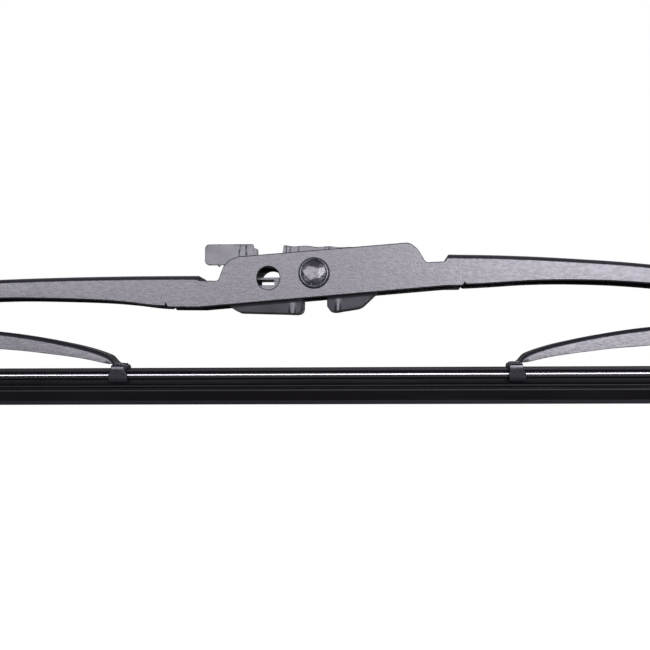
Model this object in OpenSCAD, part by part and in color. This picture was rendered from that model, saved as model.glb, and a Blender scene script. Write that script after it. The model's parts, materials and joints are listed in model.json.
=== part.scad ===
// Wiper blade of the bridged kind: a pressed steel lever carries two secondary
// levers, each of those carries a yoke, and six claws hold a rubber strip.
// X runs along the blade, Y across it, Z up from the wiping lip. Millimetres.

/* [Rubber strip] */
// Length of the rubber strip
blade_len = 550; // [520:1:580]
// Length of the rubber past the outer claws
blade_overhang = 30; // [26:1:34]
// Height of the rubber section
rubber_h = 10.3; // [10:0.1:10.5]
// Half width of the head that holds the rails
head_half = 2.8; // [2.6:0.05:3]
// Half thickness of the wiping lip
lip_half = 0.35; // [0.25:0.05:0.5]

/* [Rails] */
// Thickness of each spring steel rail
rail_t = 0.7; // [0.6:0.05:0.8]
// Width of each spring steel rail
rail_w = 2.2; // [2:0.05:2.3]
// Height of the underside of the rails
rail_z = 8.3; // [8.2:0.05:8.4]
// Length by which each rail stops short of the rubber's end
rail_short = 4; // [2:0.5:8]

/* [Primary lever] */
// Thickness of the lever's sheet steel
primary_sheet = 1.2; // [1:0.05:1.3]
// Half width of the lever at the tower
tower_half = 7; // [6.9:0.05:7.6]
// Height of the centre rivet above the lip
rivet_z = 36; // [35.8:0.1:36.3]
// Height of the left arm's back beside the tower
left_root_z = 35.6; // [35.4:0.1:35.8]
// Height of the right arm's back beside the tower
right_root_z = 40.9; // [40.7:0.05:41]
// Height of the arms' backs at their tips
arm_tip_z = 24.9; // [24.8:0.1:25.4]
// Depth of the left arm beside the tower
left_root_depth = 8.5; // [8.2:0.1:8.8]
// Depth of the right arm beside the tower
right_root_depth = 8.4; // [8:0.1:8.6]
// Depth of both arms at their slimmest
arm_depth = 5.1; // [4.8:0.1:5.4]
// Distance from the rivet to the left arm's web
left_web_x = 31.7; // [31.6:0.1:32.5]
// Distance from the rivet to the right arm's web
right_web_x = 36; // [35.5:0.1:37]
// Distance from the rivet to the side pin hole
side_hole_x = 12.6; // [12:0.1:13]
// Height of the side pin hole
side_hole_z = 34.7; // [34.5:0.1:34.9]
// Bore of the side pin hole
side_hole_d = 6.3; // [6:0.05:6.4]

/* [Tower] */
// Distance from the rivet to the foot of the tower's left end
tower_left_x = 26.8; // [26.4:0.1:27.2]
// Distance from the rivet to the top of the tower's left end
tower_left_top_x = 24.1; // [23.8:0.1:24.4]
// Distance from the rivet to the top of the tower's right end
tower_right_top_x = 26.9; // [26.5:0.1:27.3]
// Distance from the rivet to the foot of the tower's right end
tower_right_x = 30.6; // [30.3:0.1:31]
// Height of the tower's left end above the rivet
tower_left_rise = 4.8; // [4.6:0.1:5]
// Height of the tower's right end above the rivet
tower_right_rise = 8.35; // [8.2:0.05:8.5]
// Distance from the rivet to the nicks under the arms
nick_x = 40.9; // [40.5:0.1:41.5]

/* [Secondary levers] */
// Height of the lever pivots
lever_pivot_z = 19.6; // [19.4:0.1:19.8]
// Thickness of the levers' sheet steel
lever_sheet = 1; // [0.9:0.05:1.05]
// Half width of a lever at its widest
lever_half = 5; // [4.95:0.01:5.05]
// Height of a lever's crest
lever_crest_z = 22.4; // [22.2:0.1:22.5]
// Depth of a lever's walls at the pivot
lever_depth = 5.4; // [5.2:0.1:5.6]
// Distance from the centre rivet to the inner claws
inner_claw_x = 55.3; // [54:0.1:57]

/* [Yokes] */
// Height of the yoke pivots
yoke_pivot_z = 13.9; // [13.8:0.05:14]
// Distance from the yoke pivot to each of its claws
yoke_reach = 45; // [42:0.5:48]
// Thickness of the yokes' sheet steel
yoke_sheet = 0.9; // [0.8:0.05:1]
// Height of a yoke's crest
yoke_crest_z = 16.5; // [16.4:0.05:16.6]
// Depth of a yoke's walls at the pivot
yoke_depth = 4.2; // [4:0.1:4.4]

/* [Claws] */
// Thickness of a claw's sheet
claw_sheet = 1; // [0.8:0.05:1.05]
// Width of a claw at its shoulders
claw_w = 3.6; // [3.2:0.1:4]
// Width of a claw at its foot
claw_foot_w = 5.6; // [5:0.1:6]
// Half gap between the two tips of a claw
claw_tip = 2.2; // [2:0.05:2.4]
// Height of the underside of the claw's tips
claw_foot_z = 6.2; // [6.1:0.05:6.3]
// Gap between a claw and the rubber below it and the rails beside it
claw_gap = 0.3; // [0.2:0.05:0.4]

/* [Rivets] */
// Radius of the centre rivet's heads
rivet_head_r = 4.3; // [4:0.05:4.6]
// Height of the centre rivet's heads
rivet_head_h = 1.5; // [1.2:0.1:1.8]
// Radius of the centre rivet's shank
rivet_r = 2.2; // [2:0.05:2.4]
// Outer radius of the plastic sleeve on the centre rivet
sleeve_r = 3; // [2.9:0.02:3.1]
// Radius of the lever rivets' shanks
lever_rivet_r = 1.9; // [1.7:0.05:2]
// Radius of the lever rivets' heads
lever_head_r = 3.1; // [2.9:0.1:3.3]
// Radius of the yoke rivets' shanks
yoke_rivet_r = 1.3; // [1.2:0.05:1.35]
// Radius of the yoke rivets' heads
yoke_head_r = 2.1; // [2:0.05:2.3]
// Radial clearance of the turning fits
run_fit = 0.05; // [0.03:0.01:0.08]

/* [Hook adapter] */
// Gap between the adapter's cheeks and the tower's plates
adapter_play = 0.3; // [0.2:0.02:0.4]
// Thickness of the adapter's cheeks, beside the slots that take the arm's hook
cheek_t = 0.9; // [0.8:0.02:1]
// Height of the slots that take the arm's hook
hook_slot = 4.4; // [4.3:0.05:4.5]
// Height of the adapter's core, between the hook's two legs
core_h = 8.6; // [8.4:0.1:8.8]
// Distance from the rivet to the far end of the tab
tab_x = 30.5; // [30:0.1:30.6]
// Length of the tab along the blade
tab_len = 14.4; // [14:0.1:14.8]
// Distance from the rivet to the far end of the left foot
foot_x = 23.9; // [23:0.1:24.5]
// Distance from the rivet to the round nose's far side
nose_x = 16.3; // [15.5:0.1:17]

/* [Hidden] */
$fn = 64;
// Overrun of every cut past the face that it leaves
over = 1;
// Share of the way out to the yoke pivots at which the lever pivots are
lever_pivot_share = 0.75;
// Distances from the centre rivet to each yoke pivot and each lever pivot
yoke_pivot_x = blade_len / 2 - blade_overhang - yoke_reach;
lever_pivot_x = lever_pivot_share * yoke_pivot_x;
// Height and width of the bend along each lever's back
bend_h = 1.3;
bend_w = 1.4;
// Setbacks of a bend's inner side, in sheets
inner_in_share = 0.2;
inner_down_share = 0.3;
// Slant of the right web's end over the bend's height
web_slant = 0.5;
// Drops of the notches beside the tower below the bends
left_notch_drop = 0.15;
right_notch_drop = 0.5;
notch_sink = 0.1;
// Length by which the notches run on past the webs' ends
notch_run = 4;
// Radii of the tower's corners
tower_left_r = 5.3;
tower_right_r = 7;
notch_r = 1.2;
// Depth of the hem below the arms' feet between the nicks, and the nicks' size
hem = 0.3;
nick_h = 0.5;
nick_half = 0.5;
// Overhang of a lever's channel past its outer pivot
primary_overhang = 5;
lever_overhang = 4.6;
// Radii of the ears round the pivots
primary_ear_r = 3.9;
lever_ear_r = 2.9;
yoke_ear_r = 2.3;
// Length by which an ear runs up into its wall
ear_run = 0.8;
// Thickness of the plastic liners, their half lengths and their gap to the steel
liner_t = 0.5;
lever_liner_half = 4.6;
yoke_liner_half = 3.8;
liner_gap = 0.1;
// Share of its full half width that a lever has at its pivot
waist_share = 0.94;
// Slack of the yoke's liner between the lever's walls
yoke_slack = 0.05;
// Half widths of the primary lever's ends and of a yoke at its pivot
primary_end_half = lever_half * waist_share + 2 * liner_gap + liner_t + primary_sheet;
yoke_half = lever_half - lever_sheet - 2 * liner_gap - liner_t - yoke_slack;
// Step from a claw's side to the yoke's wall beside it
yoke_tuck = 0.1;
// Height of a small rivet's head
small_head_h = 0.9;
// Radius and height along a rivet's head, in shares of the head's
head_shares = [[0, 0], [1, 0], [1, 0.3], [0.93, 0.62], [0.75, 0.85], [0.45, 0.97], [0, 1]];
// Thickness of a claw's tips
claw_tip_t = 0.75;
// Heights of a strap's knee and shoulder, in shares of the claw's height
knee_share = 0.3;
shoulder_share = 0.75;
// The gusset beside a strap: places in sheets from the strap's side and the claw's top
gusset_shares = [[-0.5, -2], [-0.5, -1], [0.5, -0.6], [1.1, -1.5], [0, -3]];
gusset_in_share = 0.1;
gusset_t_share = 0.8;
// Number of stations along a channel
arm_stations = 26;
lever_stations = 40;
yoke_stations = 28;
// Largest turn between two points of a rounded corner
arc_step = 12;
// Distance from the rubber's middle to the rails' inner edges
rail_in = 1;
// Height and half width of a claw, outside
claw_top = rubber_h + claw_gap + claw_sheet;
claw_half = rail_in + rail_w + claw_gap + claw_sheet;
steel = "#5f5e66";
dark_steel = "#3c3b41";
plastic = "#6f7078";
rubber = "#17171a";
bright = "#c9c9ce";

// Shares along an arm from its web's end to its tip, and of the drop in its back
left_back_shares = [[0, 0], [0.12, -0.004], [0.23, 0.004], [0.35, 0.025], [0.46, 0.06],
                    [0.6, 0.145], [0.72, 0.28], [0.84, 0.5], [0.96, 0.9], [1, 1]];
right_back_shares = [[0, 0], [0.1, 0.0175], [0.19, 0.046], [0.29, 0.091], [0.41, 0.159],
                     [0.58, 0.31], [0.71, 0.47], [0.83, 0.67], [0.96, 0.93], [1, 1]];
// Shares along an arm, and of the depth that it has over its slimmest
left_depth_shares = [[0, 1], [0.08, 0.975], [0.17, 0.625], [0.22, 0.455], [0.34, 0.22],
                     [0.45, 0.065], [0.6, 0], [0.8, 0.08], [1, 0.5]];
right_depth_shares = [[0, 1], [0.05, 0.95], [0.1, 0.83], [0.19, 0.51], [0.24, 0.37],
                      [0.29, 0.26], [0.41, 0.106], [0.6, 0], [0.8, 0.08], [1, 0.5]];
// Shares of the way from the tower's half width to that of the ends
primary_width_shares = [[0, 0], [0.1, 0], [0.45, 0.6], [0.85, 1], [1, 1]];
// Shares along a secondary lever from its claw, and of its rise above the claw
lever_back_shares = [[0, 0], [0.007, 0.1], [0.0155, 0.213], [0.025, 0.273], [0.043, 0.36],
                     [0.07, 0.466], [0.1, 0.558], [0.133, 0.65], [0.169, 0.735], [0.205, 0.808],
                     [0.237, 0.858], [0.3, 0.925], [0.38, 0.972], [0.47, 1], [0.66, 1],
                     [0.7, 0.98], [0.8, 0.88], [0.9, 0.75], [0.96, 0.69], [1, 0.68]];
lever_depth_shares = [[0, 0.53], [0.043, 0.585], [0.07, 0.655], [0.1, 0.715], [0.133, 0.785],
                      [0.169, 0.835], [0.205, 0.893], [0.237, 0.93], [0.38, 0.965], [0.6, 1],
                      [0.64, 0.99], [0.72, 0.87], [0.85, 0.84], [0.93, 0.9], [1, 0.93]];
lever_width_shares = [[0, 0.875], [0.05, 0.89], [0.1, 0.92], [0.4, 0.94], [0.7, 0.94],
                      [0.92, 1], [1, 1]];
// Shares along half a yoke from its pivot, of its rise, its depth and its widening
yoke_back_shares = [[0, 1], [0.15, 1], [0.3, 0.95], [0.5, 0.79], [0.7, 0.52], [0.85, 0.25],
                    [0.95, 0.06], [1, 0]];
yoke_depth_shares = [[0, 1], [0.2, 0.97], [0.5, 0.8], [0.8, 0.62], [1, 0.55]];
yoke_width_shares = [[0, 0], [0.15, 0], [0.4, 0.3], [0.8, 0.9], [1, 1]];
// Power by which a lever's stations crowd towards its claw
crowd_share = 1.6;

// A value between a and b, at share t
function between(a, b, t) = a + (b - a) * t;

// The slope between rows i and i + 1 of a table of [place, value] rows
function rise(t, i) = (t[i + 1][1] - t[i][1]) / (t[i + 1][0] - t[i][0]);

// The slope at row i: level where the table turns, so that no curve overshoots
function slope(t, i) =
    i == 0 ? rise(t, 0)
    : i == len(t) - 1 ? rise(t, i - 1)
    : let (a = rise(t, i - 1), b = rise(t, i)) a * b <= 0 ? 0 : 2 * a * b / (a + b);

// A smooth curve through a table's rows: a cubic between each two
function curve(t, x, i = 0) =
    i < len(t) - 2 && x > t[i + 1][0] ? curve(t, x, i + 1)
    : let (w = t[i + 1][0] - t[i][0], s = (x - t[i][0]) / w)
        (1 + 2 * s) * (1 - s) * (1 - s) * t[i][1] + s * (1 - s) * (1 - s) * w * slope(t, i)
        + s * s * (3 - 2 * s) * t[i + 1][1] - s * s * (1 - s) * w * slope(t, i + 1);

// An outline with its corners rounded: each row is [x, z, radius]
function rounded(rows) = [
    for (i = [0:len(rows) - 1])
        let (n = len(rows), p = rows[i], a = rows[(i + n - 1) % n], b = rows[(i + 1) % n],
             u = [a[0] - p[0], a[1] - p[1]] / norm([a[0] - p[0], a[1] - p[1]]),
             v = [b[0] - p[0], b[1] - p[1]] / norm([b[0] - p[0], b[1] - p[1]]),
             half = acos(max(-1, min(1, u * v))) / 2,
             reach = p[2] / tan(half),
             s = [p[0], p[1]] + u * reach, e = [p[0], p[1]] + v * reach,
             c = [p[0], p[1]] + (u + v) / norm(u + v) * p[2] / sin(half),
             steps = p[2] == 0 ? 0 : max(2, round((180 - 2 * half) / arc_step)))
            each p[2] == 0 ? [[p[0], p[1]]]
                : [for (k = [0:steps])
                    let (q = between(s, e, k / steps) - c) c + q / norm(q) * p[2]]
];

// The bend between a wall and the back, from the wall's top inwards
bend_shares = [[0, 0], [0.3, 0.55], [0.7, 0.92], [1, 1]];
function bend_points(half, back) =
    [for (b = bend_shares) [half - bend_w * b[0], back - bend_h * (1 - b[1])]];

// The ring of points round one section of a folded channel, seen along X. The
// slant carries the bend's top that far along X.
function channel_ring(x, half, back, foot, sheet, slant = 0) =
    let (outer = concat([[half, foot]], bend_points(half, back)),
         inner = [[half - bend_w - sheet * inner_in_share, back - sheet],
                  [half - sheet, back - bend_h - sheet * inner_down_share], [half - sheet, foot]],
         side = concat(outer, [for (i = [len(outer) - 1:-1:0]) [-outer[i][0], outer[i][1]]],
                       [for (i = [len(inner) - 1:-1:0]) [-inner[i][0], inner[i][1]]], inner))
        [for (p = side) [x + slant * max(0, 1 - (back - p[1]) / bend_h), p[0], p[1]]];

// Which point inside a ring faces point k outside it
function partner(k) = floor((k + 1) / 2);

// A closed skin through a row of rings that lie along X
module loft(rings) {
    n = len(rings[0]);
    last = len(rings) - 1;
    sides = [for (i = [0:last - 1], k = [0:n - 1])
        let (a = i * n + k, b = i * n + (k + 1) % n) each [[a, b + n, b], [a, a + n, b + n]]];
    outside = 2 * (len(bend_shares) + 1);
    cap = [for (k = [0:outside - 2])
        let (p = n - 1 - partner(k), q = n - 1 - partner(k + 1))
            each concat([[k, k + 1, q]], p == q ? [] : [[k, q, p]])];
    far_cap = [for (c = cap) [last * n + c[0], last * n + c[2], last * n + c[1]]];
    polyhedron([for (r = rings) each r], concat(sides, cap, far_cap));
}

// An outline in X and Z, given its thickness along Y about the middle
module slab(outline, half) {
    rotate([90, 0, 0])
        linear_extrude(2 * half, center = true)
            polygon(outline);
}

// The same outline as two equal walls, one on each side
module walls(outline, outer, sheet) {
    for (side = [-1, 1])
        translate([0, side * (outer - sheet / 2), 0])
            slab(outline, sheet / 2);
}

// A round bar across the blade
module pin(r, half) {
    rotate([90, 0, 0])
        cylinder(r = r, h = 2 * half, center = true);
}

// The round lower edge of a lever's two walls below a pivot, run on up into the walls
module ears(x, z, r, outer, sheet) {
    for (side = [-1, 1])
        translate([x, side * (outer - sheet / 2), z])
            rotate([90, 0, 0])
                linear_extrude(sheet, center = true) {
                    intersection() {
                        circle(r = r);
                        translate([-r, -r])
                            square([2 * r, r]);
                    }
                    translate([-r, 0])
                        square([2 * r, ear_run]);
                }
}

// A section in Y and Z, given its length along X about the middle
module bar(section, half) {
    translate([-half, 0, 0])
        rotate([90, 0, 90])
            linear_extrude(2 * half)
                polygon(section);
}

// A rivet across the blade: a shank and two domed heads
module rivet(r, half, head_r, head_h) {
    pin(r, half + head_h / 2);
    for (side = [-1, 1])
        rotate([side * 90, 0, 0])
            translate([0, 0, half])
                rotate_extrude()
                    polygon([for (share = head_shares) [head_r * share[0], head_h * share[1]]]);
}

// A claw: a strap over the rubber's head whose two tips close under it
module claw(x, inward) {
    section = [
        [claw_half, claw_top - claw_sheet / 2], [claw_half - claw_sheet / 2, claw_top],
        [-claw_half + claw_sheet / 2, claw_top], [-claw_half, claw_top - claw_sheet / 2],
        [-claw_half, claw_foot_z + claw_sheet / 2], [-claw_half + claw_sheet / 2, claw_foot_z],
        [-claw_tip, claw_foot_z], [-claw_tip, claw_foot_z + claw_tip_t],
        [-claw_half + claw_sheet, claw_foot_z + claw_tip_t],
        [-claw_half + claw_sheet, claw_top - claw_sheet],
        [claw_half - claw_sheet, claw_top - claw_sheet],
        [claw_half - claw_sheet, claw_foot_z + claw_tip_t],
        [claw_tip, claw_foot_z + claw_tip_t], [claw_tip, claw_foot_z],
        [claw_half - claw_sheet / 2, claw_foot_z], [claw_half, claw_foot_z + claw_sheet / 2]];
    knee_z = between(claw_foot_z, claw_top, knee_share);
    shoulder_z = between(claw_foot_z, claw_top, shoulder_share);
    face = [[-claw_w / 2, claw_top + over], [-claw_w / 2, shoulder_z],
            [-claw_foot_w / 2, knee_z], [-claw_foot_w / 2, claw_foot_z - over],
            [claw_foot_w / 2, claw_foot_z - over], [claw_foot_w / 2, knee_z],
            [claw_w / 2, shoulder_z], [claw_w / 2, claw_top + over]];
    translate([x, 0, 0])
        intersection() {
            bar(section, claw_foot_w);
            slab(face, claw_half + over);
        }
    // The small gusset that stands out from each side of the strap
    translate([x + inward * claw_w / 2, 0, 0])
        walls([for (share = gusset_shares)
                  [inward * claw_sheet * share[0], claw_top + claw_sheet * share[1]]],
            claw_half - claw_sheet * gusset_in_share, claw_sheet * gusset_t_share);
}

// Half width, back and foot of the primary lever's arms, at share t from the web's end
arm_tip_x = lever_pivot_x + primary_overhang;
function arm_half(t) = between(tower_half, primary_end_half, curve(primary_width_shares, t));
function arm_back(t, root_z, back_shares) = between(root_z, arm_tip_z, curve(back_shares, t));
function arm_foot(t, root_z, root_depth, back_shares, depth_shares) =
    arm_back(t, root_z, back_shares) - between(arm_depth, root_depth, curve(depth_shares, t));

// One arm of the primary lever, drawn towards +X
module primary_arm(web_x, root_z, root_depth, back_shares, depth_shares, slant) {
    loft([for (i = [0:arm_stations])
        let (t = i / arm_stations)
            channel_ring(between(web_x, arm_tip_x, t), arm_half(t), arm_back(t, root_z, back_shares),
                arm_foot(t, root_z, root_depth, back_shares, depth_shares), primary_sheet,
                i == 0 ? slant : 0)]);
    ears(lever_pivot_x, lever_pivot_z, primary_ear_r, primary_end_half, primary_sheet);
}

// The notch bottoms beside the tower, level with the bends' lower edges
left_notch_z = left_root_z - bend_h - left_notch_drop;
right_notch_z = right_root_z - bend_h - right_notch_drop;
// Heights of the arms' feet at the webs' ends and at the nicks
left_root_foot = left_root_z - left_root_depth;
right_root_foot = right_root_z - right_root_depth;
left_nick_z = arm_foot((nick_x - left_web_x) / (arm_tip_x - left_web_x),
    left_root_z, left_root_depth, left_back_shares, left_depth_shares);
right_nick_z = arm_foot((nick_x - right_web_x) / (arm_tip_x - right_web_x),
    right_root_z, right_root_depth, right_back_shares, right_depth_shares);
module tower_walls() {
    walls(rounded([
        [-nick_x, left_nick_z - hem, 0],
        [-nick_x, left_nick_z + nick_h, 0],
        [-left_web_x - notch_run, left_notch_z - notch_sink, 0],
        [-tower_left_x, left_notch_z, notch_r],
        [-tower_left_top_x, rivet_z + tower_left_rise, tower_left_r],
        [tower_right_top_x, rivet_z + tower_right_rise, tower_right_r],
        [tower_right_x, right_notch_z, notch_r],
        [right_web_x + notch_run, right_notch_z - notch_sink, 0],
        [nick_x, right_nick_z + nick_h, 0],
        [nick_x, right_nick_z - hem, 0],
        [right_web_x, right_root_foot - hem, 0],
        [-left_web_x, left_root_foot - hem, 0]]), tower_half, primary_sheet);
}

// A small V cut up into an arm's foot
module nick(x, z) {
    slab([[x - nick_half, z - over], [x - nick_half, z], [x, z + nick_h],
          [x + nick_half, z], [x + nick_half, z - over]], tower_half + over);
}

module primary_lever() {
    color(steel)
        difference() {
            union() {
                tower_walls();
                primary_arm(right_web_x, right_root_z, right_root_depth, right_back_shares,
                    right_depth_shares, web_slant);
                mirror([1, 0, 0])
                    primary_arm(left_web_x, left_root_z, left_root_depth, left_back_shares,
                        left_depth_shares, 0);
            }
            translate([0, 0, rivet_z])
                pin(rivet_r + run_fit, tower_half + over);
            translate([-side_hole_x, 0, side_hole_z])
                pin(side_hole_d / 2, tower_half + over);
            nick(-nick_x, left_nick_z);
            nick(nick_x, right_nick_z);
            for (side = [-1, 1])
                translate([side * lever_pivot_x, 0, lever_pivot_z])
                    pin(lever_rivet_r + run_fit, tower_half + over);
        }
}

module centre_rivet() {
    color(dark_steel)
        translate([0, 0, rivet_z])
            rivet(rivet_r, tower_half, rivet_head_r, rivet_head_h);
}

module rivet_sleeve() {
    color(bright)
        translate([0, 0, rivet_z])
            difference() {
                pin(sleeve_r, tower_half - primary_sheet);
                pin(rivet_r + run_fit, tower_half);
            }
}

// The hook adapter: a core round the sleeve between an upper and a lower hook
// slot, with cheeks on both sides, two feet that straddle the sleeve, a tab at
// the far end of the upper slot's floor, and a latch tongue beside the core.
adapter_half = tower_half - primary_sheet - adapter_play;
hook_half = adapter_half - cheek_t;
core_rise = 3.2;
core_top = rivet_z + core_rise;
core_foot = core_top - core_h;
slot_foot = core_foot - hook_slot;
// The grips over the slot, the tab above them and the step at the tab's end
grip_rise = 0.3;
grip_z = core_top + hook_slot + grip_rise;
grip_x = 8.6;
grip_slant = 0.4;
sill_h = 1.2;
tab_rise = 0.5;
tab_step_w = 1.1;
tab_step_h = 1.6;
tab_r = 0.9;
tab_step_r = 0.3;
// The floors of the upper and the lower slot
slab_t = 0.8;
foot_floor = 1.1;
foot_z = slot_foot - foot_floor;
floor_in = 0.9;
floor_x = 7;
floor_rise = 0.3;
// The left foot's side and heel, and the right foot's sole
foot_side_h = 2.6;
heel_w = 2.6;
heel_h = 0.7;
heel_r = 1.3;
toe_r = 1.7;
sole_h = 0.45;
sole_r = 2.6;
sole_in = 4.6;
sole_end_h = 1.4;
sole_end_r = 3;
// The cheeks' ends round the nose, and the open left end of the core
cheek_over = 2;
cheek_x = nose_x + cheek_over;
cheek_r = 3;
cheek_rise = 1;
cheek_foot_r = 2;
core_x = 8;
core_r = 1;
cheek_foot_h = 2.3;
// The latch tongue and its root
tongue_in = 2;
tongue_z = 34.5;
tongue_t = 0.7;
tongue_play = 1;
tongue_root_x = 11.4;
tongue_root_in = 0.4;
tongue_root_h = 1.8;
// The nub under the tab
nub_x = 26.2;
nub_half = 0.5;
nub_tip_half = 0.2;
nub_h = 0.5;
nub_sink = 0.1;
// Share of the sleeve's bore left open by the snap above the feet
snap_share = 0.92;
// Grooves in the tab and the grips
groove_places = [-21.6, -18.8, -7, -4.6, 3.9];
groove_w = 0.3;
groove_t = 0.15;
module cheek_outline() {
    gap = sleeve_r + run_fit;
    polygon(rounded([
        [-foot_x, slot_foot + foot_side_h, core_r],
        [-foot_x + heel_w, foot_z + heel_h, heel_r],
        [-gap, foot_z, toe_r],
        [-gap, core_foot, 0],
        [gap, core_foot, 0],
        [gap, foot_z + sole_h, sole_r],
        [nose_x - sole_in, foot_z + sole_end_h, sole_end_r],
        [cheek_x, core_foot + cheek_rise, cheek_foot_r],
        [cheek_x, grip_z, cheek_r],
        [-grip_x, grip_z, tab_step_r],
        [-grip_x - grip_slant, core_top + sill_h, tab_step_r],
        [-tab_x + tab_len, core_top + sill_h, 0],
        [-tab_x + tab_len, grip_z - tab_step_h, tab_step_r],
        [-tab_x + tab_len - tab_step_w, grip_z - tab_step_h, 0],
        [-tab_x + tab_len - tab_step_w, grip_z + tab_rise, tab_step_r],
        [-tab_x, grip_z + tab_rise, tab_r],
        [-tab_x, core_top - slab_t, tab_r],
        [-core_x, core_top - slab_t, core_r],
        [-core_x, core_foot + cheek_foot_h, core_r],
        [-foot_x, core_foot + cheek_foot_h, core_r]]));
}
module hook_adapter() {
    core_half = hook_half + cheek_t / 2;
    core_mid = (core_top + core_foot) / 2;
    gap = sleeve_r + run_fit;
    color(plastic)
        difference() {
            union() {
                for (side = [-1, 1])
                    translate([0, side * (adapter_half - cheek_t / 2), 0])
                        rotate([90, 0, 0])
                            linear_extrude(cheek_t, center = true)
                                cheek_outline();
                // The core with its round nose, where the hook turns
                slab([[-core_x, core_foot], [nose_x - core_h / 2, core_foot],
                      [nose_x - core_h / 2, core_top], [-core_x, core_top]], core_half);
                translate([nose_x - core_h / 2, 0, core_mid])
                    pin(core_h / 2, core_half);
                // The floor of the upper slot, out to the tab
                slab([[-tab_x + floor_in, core_top - slab_t], [-floor_x, core_top - slab_t],
                      [-floor_x, core_top], [-tab_x + floor_in, core_top]], core_half);
                // The floor that joins the left cheeks under the lower slot
                slab([[-foot_x + heel_w, foot_z + heel_h], [-gap, foot_z + floor_rise], [-gap, slot_foot],
                      [-foot_x + tongue_in, slot_foot]], core_half);
                // The latch tongue
                slab([[-foot_x + tongue_in, tongue_z], [-tongue_root_x, tongue_z],
                      [-tongue_root_x + tongue_root_in, core_foot + tongue_root_h],
                      [-floor_x, core_foot + tongue_root_h], [-floor_x, tongue_z + tongue_t],
                      [-foot_x + tongue_in, tongue_z + tongue_t]], hook_half - tongue_play);
                // The nub under the tab
                slab([[-nub_x - nub_half, core_top - slab_t + nub_sink],
                      [-nub_x - nub_tip_half, core_top - slab_t - nub_h],
                      [-nub_x + nub_tip_half, core_top - slab_t - nub_h],
                      [-nub_x + nub_half, core_top - slab_t + nub_sink]], core_half);
            }
            translate([0, 0, rivet_z])
                pin(gap, adapter_half + over);
            slab([[-gap * snap_share, rivet_z], [-gap, foot_z - over], [gap, foot_z - over],
                  [gap * snap_share, rivet_z]], adapter_half + over);
            for (x = groove_places)
                walls([[x - groove_w / 2, core_top], [x + groove_w / 2, core_top],
                       [x + groove_w / 2, grip_z + over], [x - groove_w / 2, grip_z + over]],
                    adapter_half + over, over + groove_t);
        }
}

// A secondary lever, drawn on the right
module lever() {
    start = inner_claw_x + claw_w / 4;
    tip = yoke_pivot_x + lever_overhang;
    difference() {
        union() {
            loft([for (i = [0:lever_stations])
                let (t = pow(i / lever_stations, crowd_share),
                     x = between(start, tip, t),
                     s = (x - inner_claw_x) / (tip - inner_claw_x),
                     back = between(claw_top, lever_crest_z, curve(lever_back_shares, s)))
                    channel_ring(x, lever_half * curve(lever_width_shares, s), back,
                        back - lever_depth * curve(lever_depth_shares, s), lever_sheet)]);
            ears(yoke_pivot_x, yoke_pivot_z, lever_ear_r, lever_half, lever_sheet);
            claw(inner_claw_x, -1);
        }
        translate([lever_pivot_x, 0, lever_pivot_z])
            pin(lever_rivet_r + run_fit, lever_half + over);
        translate([yoke_pivot_x, 0, yoke_pivot_z])
            pin(yoke_rivet_r + run_fit, lever_half + over);
    }
}

// The right hand pieces are drawn, and the left ones are their mirror images
module left_lever() { color(steel) mirror([1, 0, 0]) lever(); }
module right_lever() { color(steel) lever(); }

module lever_rivet() {
    translate([lever_pivot_x, 0, lever_pivot_z])
        rivet(lever_rivet_r, primary_end_half, lever_head_r, small_head_h);
}
module left_lever_rivet() { color(dark_steel) mirror([1, 0, 0]) lever_rivet(); }
module right_lever_rivet() { color(dark_steel) lever_rivet(); }

// A liner: a folded plastic strap over a channel's back and down its two sides
module liner(x, z, half_x, inner, top, foot, r) {
    outer_half = concat([[inner + liner_t, foot]], bend_points(inner + liner_t, top + liner_t));
    inner_half = concat([[inner, foot]], bend_points(inner, top));
    difference() {
        translate([x, 0, 0])
            bar([for (p = outer_half) p,
                 for (i = [len(outer_half) - 1:-1:0]) [-outer_half[i][0], outer_half[i][1]],
                 for (p = inner_half) [-p[0], p[1]],
                 for (i = [len(inner_half) - 1:-1:0]) inner_half[i]], half_x);
        translate([x, 0, z])
            pin(r, inner + over);
    }
}
module lever_liner() {
    liner(lever_pivot_x, lever_pivot_z, lever_liner_half, lever_half * waist_share + liner_gap,
        lever_crest_z + liner_gap, lever_crest_z - lever_depth, lever_rivet_r + run_fit);
}
module left_lever_liner() { color(bright) mirror([1, 0, 0]) lever_liner(); }
module right_lever_liner() { color(bright) lever_liner(); }

// A yoke, drawn on the right: a short channel with a claw at each end
module yoke() {
    reach = yoke_reach - claw_w / 4;
    difference() {
        union() {
            loft([for (i = [0:yoke_stations])
                let (u = 2 * i / yoke_stations - 1, s = abs(u) * reach / yoke_reach,
                     back = between(claw_top, yoke_crest_z, curve(yoke_back_shares, s)))
                    channel_ring(yoke_pivot_x + u * reach,
                        between(yoke_half, claw_half - yoke_tuck, curve(yoke_width_shares, s)), back,
                        back - yoke_depth * curve(yoke_depth_shares, s), yoke_sheet)]);
            ears(yoke_pivot_x, yoke_pivot_z, yoke_ear_r, yoke_half, yoke_sheet);
            claw(yoke_pivot_x - yoke_reach, 1);
            claw(yoke_pivot_x + yoke_reach, -1);
        }
        translate([yoke_pivot_x, 0, yoke_pivot_z])
            pin(yoke_rivet_r + run_fit, lever_half + over);
    }
}
module left_yoke() { color(steel) mirror([1, 0, 0]) yoke(); }
module right_yoke() { color(steel) yoke(); }

module yoke_rivet() {
    translate([yoke_pivot_x, 0, yoke_pivot_z])
        rivet(yoke_rivet_r, lever_half, yoke_head_r, small_head_h);
}
module left_yoke_rivet() { color(dark_steel) mirror([1, 0, 0]) yoke_rivet(); }
module right_yoke_rivet() { color(dark_steel) yoke_rivet(); }

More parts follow.
